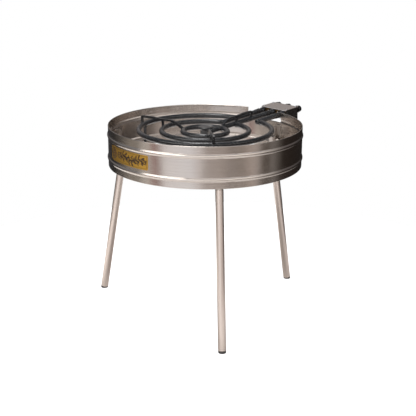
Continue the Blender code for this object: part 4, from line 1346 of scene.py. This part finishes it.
def make_inlet():
    """Brass elbow that turns down from the rail, with a barbed tail for the hose."""
    middle = rail_centre()
    begin = span("inlet_nut", ARM)[1].y + GAP
    along, bend, count = begin + 0.004, 0.010, 28
    points = [Vector((0, begin, 0)), Vector((0, begin + 0.002, 0))]
    for a in [pi / 2 * k / 14 for k in range(15)]:
        points.append(Vector((0, along + bend * sin(a), bend * (cos(a) - 1))))
    points.append(Vector((0, along + bend, -bend - 0.006)))
    pipe = bmesh.new()
    rows = []
    for index, point in enumerate(points):
        run = points[min(index + 1, len(points) - 1)] - points[max(index - 1, 0)]
        side = Vector((1, 0, 0))
        up = run.normalized().cross(side)
        rows.append([pipe.verts.new(point + side * x + up * y) for x, y, _ in circle(0.0062, count)])
    skinned(pipe, rows)
    drop = points[-1].z + 0.001
    bottom = span("inlet_elbow", ARM)[0].z - middle.z
    barb = [(0.0030, drop), (0.0050, drop)]
    for k in range(1, 4):
        barb += near(0, drop - (drop - bottom) * k / 3, (4.3, 2.2), (5.5, 1.2), (5.6, 0.4))
    barb += [(0.0053, bottom), (0.0030, bottom)]
    tail = moved(swept(barb, steps=36), shift(y=points[-1].y))
    place = ARM @ shift(middle.x, 0, middle.z)
    show("inlet_bend", joined(pipe, tail), "machined_brass", "burner", place, ["inlet_elbow"])


def make_tap(side):
    """Tap body on its rail boss, its injector, the sprung washer, the spindle and the knob."""
    place = on_arm(side)
    rail, rail_top = rail_centre(), span("gas_rail", ARM)[1].z
    low, high = span(f"tap_body_{side}", ARM)
    start, front = low.x, high.x
    profile = near(0, start, (0, 0), (5.4, 0), (6, 0.6), (6, 8), (7.8, 9.2), (8.5, 10))
    profile += near(0, front, (8.5, -8.6), (8, -7.8), (7, -7), (7, -0.6), (6.4, 0), (3.6, 0))
    profile += near(0, front, (3.4, -0.6), (3.4, -12), (0, -12))
    foot = -rail_top - 0.004
    boss = turned([(0, 0), (0.0048, 0), (0.0055, 0.0007), (0.0055, foot), (0, foot)], 32)
    boss = moved(boss, spin(-pi / 2, "Y") @ shift(rail.x, 0, rail_top + GAP))
    solid = joined(turned(profile, 44), hexagon(0.0084, start + 0.0112, start + 0.0172), boss)
    show(f"tap_{side}", solid, "machined_brass", "burner", place, [f"tap_body_{side}"])

    low, high = span(f"injector_{side}", ARM)
    tip, seat = low.x, high.x
    profile = near(0, tip, (0, 1), (0.6, 1), (0.7, 0), (2, 0), (2.4, 0.4), (3.5, 3), (3.5, 9))
    jet = turned(profile + near(0, seat, (3.6, -0.4), (3.6, 0), (0, 0)), 32)
    jet = joined(jet, hexagon(0.0054, tip + 0.0096, seat - 0.0002, 0.0004))
    show(f"jet_{side}", jet, "machined_brass", "burner", place, [f"injector_{side}"])

    low, high = span(f"thrust_washer_{side}", ARM)
    ring = near(0, low.x, (3.3, 0), (6.2, 0), (6.5, 0.3)) + near(0, high.x, (6.5, -0.3), (6.2, 0), (3.3, 0))
    node, body = f"thrust_washer_{side}", f"{side}_tap_press"
    show(f"washer_{side}", swept(ring, steps=36), "zinc_plate", body, place, [node])

    collar = high.x + GAP
    low, high = span(f"spindle_{side}", ARM)
    profile = near(0, low.x, (0, 0), (2.6, 0), (3, 0.4)) + near(0, collar, (3, 0), (4.2, 0), (4.2, 2), (3, 2))
    shaft = as_mesh(turned(profile + [(0.0030, high.x), (0, high.x)], 36))
    flat = block((0.0022, -0.005, collar + 0.010), (0.006, 0.005, high.x + 0.002))
    body = f"{side}_tap_knob"
    show(f"shaft_{side}", cut(shaft, flat), "zinc_plate", body, place, [f"spindle_{side}"])
    make_knob(side, place, body, high.x)


def make_knob(side, place, body, shaft_end):
    """Turned knob with a skirt, ribbed grip, dished face and a painted pointer."""
    low, high = span(f"knob_{side}", ARM)
    back, front, radius, bore = low.x, high.x, (high.y - low.y) / 2, 0.0033
    profile = [(bore, back), *near(radius, back, (-1.2, 0), (-0.3, 0.4), (0, 1.2), (0, 4), (-0.3, 5))]
    profile += near(radius, back, (-1.8, 6.2), (-2.4, 7.5)) + near(radius, front, (-3, -2.4), (-3.4, -1.2))
    profile += near(radius, front, (-4.4, -0.3), (-5.6, 0), (-7, -0.4), (-8.5, -1)) + [(0, front - 0.0013)]
    profile += [(0, shaft_end + GAP), (bore, shaft_end + GAP), (bore, back)]
    mesh = grow(
        as_mesh(turned(profile, 64)), knob_grip_tree, "knob_plastic", Radius=radius - 0.0030,
        Rib_Radius=0.0011, Ribs=20, Length=front - back - 0.0095, Middle=(back + front) / 2 + 0.0028)
    show(f"knob_grip_{side}", mesh, "knob_plastic", body, place, [f"knob_{side}"])
    line = block((-radius + 0.0062, -0.0006, front - 0.0006), (-0.0012, 0.0006, front - 0.0003), 0.0001)
    skirt = block((-radius - 0.00015, -0.0006, back + 0.0012), (-radius + 0.0008, 0.0006, back + 0.0040), 0.0001)
    show(f"knob_pointer_{side}", joined(line, skirt), "knob_paint", body, place)


# ---------------------------------------------------------------- stage

# Tones of the studio by compass angle in degrees: below and above the height of the steel.
LOW_WALLS = (
    (-180, (0.50, 0.47, 0.43)), (-167, (0.66, 0.62, 0.57)), (-159, (0.30, 0.13, 0.12)),
    (-152, (0.44, 0.36, 0.34)), (-144, (0.98, 0.97, 1.00)), (-116, (1.04, 1.06, 1.12)),
    (-106, (0.86, 0.84, 0.86)), (-97, (0.46, 0.41, 0.39)), (-80, (0.45, 0.39, 0.36)),
    (-68, (0.28, 0.24, 0.22)), (-55, (0.30, 0.25, 0.22)), (-42, (0.56, 0.48, 0.44)),
    (-35, (0.50, 0.45, 0.43)), (-29, (0.14, 0.115, 0.10)), (-20, (0.10, 0.08, 0.065)),
    (-13, (0.26, 0.24, 0.23)), (-5, (0.14, 0.125, 0.115)), (4, (0.03, 0.022, 0.018)),
    (60, (0.02, 0.017, 0.016)), (100, (0.05, 0.05, 0.055)), (126, (0.03, 0.028, 0.027)),
    (146, (0.11, 0.10, 0.09)), (164, (0.34, 0.31, 0.27)),
)
HIGH_WALLS = (
    (-180, (0.60, 0.58, 0.56)), (-150, (1.15, 1.12, 1.10)), (-95, (1.10, 1.05, 1.02)),
    (-45, (0.95, 0.90, 0.87)), (-15, (0.42, 0.40, 0.38)), (5, (0.10, 0.09, 0.09)),
    (50, (0.09, 0.085, 0.085)), (72, (0.24, 0.22, 0.21)), (105, (0.26, 0.24, 0.24)),
    (135, (0.17, 0.17, 0.18)),
)
CEILING = (0.30, 0.31, 0.33)
STRIP_LIGHT = (1.75, 1.75, 1.75)    # how much brighter a row of windows is than the wall round it
FLOOR_REACH, FLOOR_TOP = 1.35, -0.0005
LENS, SENSOR = 82.98, 36.0
CAMERA_PLACE = (-0.4838, -3.3499, 1.4511)
CAMERA_TURN = (8.415, 17.55, -0.345)    # yaw to the right, pitch down and roll, in degrees


def azimuth_ramp(tree, turn, stops):
    """A colour that changes with the compass angle, through stops given in degrees."""
    ramp = add(tree, "ShaderNodeValToRGB", turn)
    elements = ramp["Color"].node.color_ramp.elements
    for index, (angle, colour) in enumerate(stops):
        position = (angle + 180) / 360
        stop = elements[index] if index < 2 else elements.new(position)
        stop.position = position
        stop.color = (*colour, 1.0)
    return ramp["Color"]


def make_world():
    """Studio seen in the steel: lit from the left and dark at the right. The camera sees plain white."""
    world = bpy.data.worlds.new("studio")
    world.use_nodes = True
    bpy.context.scene.world = world
    tree = world.node_tree
    tree.nodes.clear()
    way = add(tree, "ShaderNodeTexCoord")["Generated"]
    parts = add(tree, "ShaderNodeSeparateXYZ", way)
    height = parts["Z"]
    around = maths(tree, "ARCTAN2", parts["Y"], parts["X"])
    turn = maths(tree, "MULTIPLY_ADD", around, 1 / tau)
    turn.node.inputs[2].default_value = 0.5
    streaks = noise(tree, add(tree, "ShaderNodeCombineXYZ", maths(tree, "MULTIPLY", turn, 150.0))[0], 1.0, 3.0)
    shade = mix_colour(tree, threshold(tree, streaks, 0.3, 0.7), (0.80, 0.79, 0.78), (1.10, 1.10, 1.10))
    low = mix_colour(tree, 1.0, azimuth_ramp(tree, turn, LOW_WALLS), shade, "MULTIPLY")
    high = azimuth_ramp(tree, turn, HIGH_WALLS)
    wall = mix_colour(tree, threshold(tree, height, -0.10, 0.12), low, high)
    row = maths(tree, "MULTIPLY", threshold(tree, height, 0.14, 0.26), threshold(tree, height, 0.60, 0.48))
    wall = mix_colour(tree, row, wall, mix_colour(tree, 1.0, high, STRIP_LIGHT, "MULTIPLY"))
    room = mix_colour(tree, threshold(tree, height, 0.42, 0.75), wall, CEILING)
    seen = add(tree, "ShaderNodeLightPath")["Is Camera Ray"]
    light = add(tree, "ShaderNodeBackground", mix_colour(tree, seen, room, (1.0, 1.0, 1.0)))[0]
    tree.links.new(light, tree.nodes.new("ShaderNodeOutputWorld").inputs["Surface"])


def make_floor():
    """Round pale floor, evenly bright to the camera. In reflections its colour holds a painted shadow under the drum
    and painted dark away to the right, and its open part glows as painted light.
    """
    profile = [(0, FLOOR_TOP), (FLOOR_REACH, FLOOR_TOP), (FLOOR_REACH, -0.004), (0, -0.004)]
    mesh = as_mesh(turned(profile, 96), "floor")
    material = bpy.data.materials.new("floor_paper")
    material.use_nodes = True
    tree = material.node_tree
    shader = tree.nodes["Principled BSDF"]
    place = add(tree, "ShaderNodeTexCoord")["Object"]
    seen = add(tree, "ShaderNodeLightPath")["Is Camera Ray"]
    paper = mix_colour(tree, noise(tree, place, 3.0, 3.0), (0.88, 0.88, 0.88), (0.92, 0.92, 0.92))
    reach = add(tree, "ShaderNodeVectorMath", place, operation="LENGTH")["Value"]
    across = add(tree, "ShaderNodeSeparateXYZ", place)["X"]
    # Painted shade, seen only in reflections: the floor turns dark to the right, and darker still under the drum,
    # where the stand's shadow falls.
    open_floor = mix_colour(tree, threshold(tree, across, 0.55, 1.0), (0.90, 0.84, 0.79), (0.16, 0.14, 0.13))
    painted_shade_floor = mix_colour(tree, threshold(tree, reach, 0.36, 0.70), (0.50, 0.46, 0.43), open_floor)
    # Painted light, seen only in reflections: the open floor glows, away from the drum and from the right.
    bright = maths(tree, "MULTIPLY", threshold(tree, reach, 0.30, 0.75), threshold(tree, across, 0.95, 0.55))
    glow = blend_between(tree, seen, blend_between(tree, bright, 0.0, 0.55), 0.72)
    feed(tree, shader, Base_Color=mix_colour(tree, seen, painted_shade_floor, paper), Emission_Strength=glow)
    feed(tree, shader, Roughness=0.9, Emission_Color=(1.0, 1.0, 1.0, 1.0))
    mesh.materials.append(material)
    new_object("floor", mesh)


def make_light(name, place, size, power, colour):
    """A soft rectangular lamp that looks at the drum."""
    lamp = bpy.data.lights.new(name, "AREA")
    lamp.shape = "RECTANGLE"
    lamp.size, lamp.size_y = size
    lamp.energy = power
    lamp.color = colour
    holder = new_object(name, lamp)
    holder.location = AXIS + Vector(place)
    aim = Vector((0, 0, 0.6)) + AXIS - holder.location
    holder.rotation_euler = aim.to_track_quat("-Z", "Y").to_euler()


def make_camera():
    camera = bpy.data.cameras.new("camera")
    camera.lens, camera.sensor_width = LENS, SENSOR
    holder = new_object("camera", camera)
    holder.location = AXIS + Vector(CAMERA_PLACE)
    yaw, pitch, roll = (radians(angle) for angle in CAMERA_TURN)
    forward = Vector((sin(yaw) * cos(pitch), cos(yaw) * cos(pitch), -sin(pitch)))
    right = Vector((cos(yaw), -sin(yaw), 0))
    down = forward.cross(right)
    rolled_right = right * cos(roll) + down * sin(roll)
    rolled_down = down * cos(roll) - right * sin(roll)
    holder.rotation_euler = Matrix((rolled_right, -rolled_down, -forward)).transposed().to_euler()
    bpy.context.scene.camera = holder


# ---------------------------------------------------------------- operators


class BuildStage(bpy.types.Operator):
    """Builds the pale floor, the soft lights and the camera"""
    bl_idname = "ring_burner.build_stage"
    bl_label = "Stage"

    def execute(self, context):
        context.scene.view_settings.view_transform = "Standard"
        make_world()
        make_floor()
        make_light("overhead", (-0.2, 0.1, 2.3), (1.5, 0.5), 22, (1, 1, 1))
        make_light("left_window", (-2.2, -1.4, 1.9), (2.4, 1.0), 16, (1.0, 0.97, 0.94))
        make_camera()
        return {"FINISHED"}


class BuildDrum(bpy.types.Operator):
    """Builds the windshield drum, its seam and its spot weld marks"""
    bl_idname = "ring_burner.build_drum"
    bl_label = "Drum"

    def execute(self, context):
        make_drum()
        make_drum_seam()
        make_spot_welds()
        return {"FINISHED"}


class BuildNamePlate(bpy.types.Operator):
    """Builds the gold name plate with its leaf ornament"""
    bl_idname = "ring_burner.build_name_plate"
    bl_label = "Name plate"

    def execute(self, context):
        make_name_plate()
        return {"FINISHED"}


class BuildLegs(bpy.types.Operator):
    """Builds the three legs with their studs and end plugs"""
    bl_idname = "ring_burner.build_legs"
    bl_label = "Legs"

    def execute(self, context):
        for side in SIDES:
            make_leg_tube(side)
            make_foot(side)
            make_stud(side)
        return {"FINISHED"}


class BuildSockets(bpy.types.Operator):
    """Builds the leg sockets and the shelves that the burner stands on"""
    bl_idname = "ring_burner.build_sockets"
    bl_label = "Sockets and shelves"

    def execute(self, context):
        for side in SIDES:
            make_socket(side)
        for side in ("front", "left"):
            make_shelf(side)
        return {"FINISHED"}


class BuildRings(bpy.types.Operator):
    """Builds the three flame rings, their welds and the centre head"""
    bl_idname = "ring_burner.build_rings"
    bl_label = "Rings"

    def execute(self, context):
        pitch = abs(TAP_ACROSS["left"])
        make_flame_ring("outer_ring", pitch + settings("burner").tube, -pitch, 180)
        make_flame_ring("middle_ring", pitch, 0.0, 132)
        make_flame_ring("inner_ring", 0.002, -0.002, 88)
        make_ring_welds()
        make_cap()
        return {"FINISHED"}


class BuildFeedTubes(bpy.types.Operator):
    """Builds the three feed tubes with their air sleeves"""
    bl_idname = "ring_burner.build_feed_tubes"
    bl_label = "Feed tubes"

    def execute(self, context):
        for side in TAPS:
            make_feed_tube(side)
        return {"FINISHED"}


class BuildSupports(bpy.types.Operator):
    """Builds the pan supports, the burner's feet and the saddle under the arm"""
    bl_idname = "ring_burner.build_supports"
    bl_label = "Supports and feet"

    def execute(self, context):
        for side in SUPPORTS:
            make_support(side)
        make_support_welds()
        for side in ("front", "left"):
            make_burner_foot(side)
        make_arm_rest()
        return {"FINISHED"}


class BuildCase(bpy.types.Operator):
    """Builds the tap case, the heat shield and its screws"""
    bl_idname = "ring_burner.build_case"
    bl_label = "Tap case and shield"

    def execute(self, context):
        make_case()
        make_shield()
        return {"FINISHED"}


class BuildGasWay(bpy.types.Operator):
    """Builds the gas rail, its inlet and the three taps"""
    bl_idname = "ring_burner.build_gas_way"
    bl_label = "Gas rail and taps"

    def execute(self, context):
        make_rail()
        make_inlet()
        for side in TAPS:
            make_tap(side)
        return {"FINISHED"}


OPERATORS = (
    BuildStage, BuildDrum, BuildNamePlate, BuildLegs, BuildSockets,
    BuildRings, BuildFeedTubes, BuildSupports, BuildCase, BuildGasWay,
)


class RingBurnerPanel(bpy.types.Panel):
    """Lists the pieces that can be built, and their sizes"""
    bl_idname = "VIEW3D_PT_ring_burner"
    bl_label = "Ring burner"
    bl_space_type = "VIEW_3D"
    bl_region_type = "UI"
    bl_category = "Ring burner"

    def draw(self, context):
        for operator in OPERATORS:
            self.layout.operator(operator.bl_idname)
        for group in SETTINGS:
            frame_box = self.layout.box()
            frame_box.label(text=group.capitalize())
            for name in SETTINGS[group].__annotations__:
                frame_box.prop(settings(group), name)


CLASSES = (*SETTINGS.values(), *OPERATORS, RingBurnerPanel)


def register():
    for item in CLASSES:
        bpy.utils.register_class(item)
    for name, group in SETTINGS.items():
        setattr(bpy.types.Scene, f"ring_burner_{name}", PointerProperty(type=group))


def unregister():
    for name in SETTINGS:
        delattr(bpy.types.Scene, f"ring_burner_{name}")
    for item in reversed(CLASSES):
        bpy.utils.unregister_class(item)


def main():
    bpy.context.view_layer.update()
    register()
    for operator in OPERATORS:
        group, name = operator.bl_idname.split(".")
        getattr(getattr(bpy.ops, group), name)()


if __name__ == "__main__":
    main()
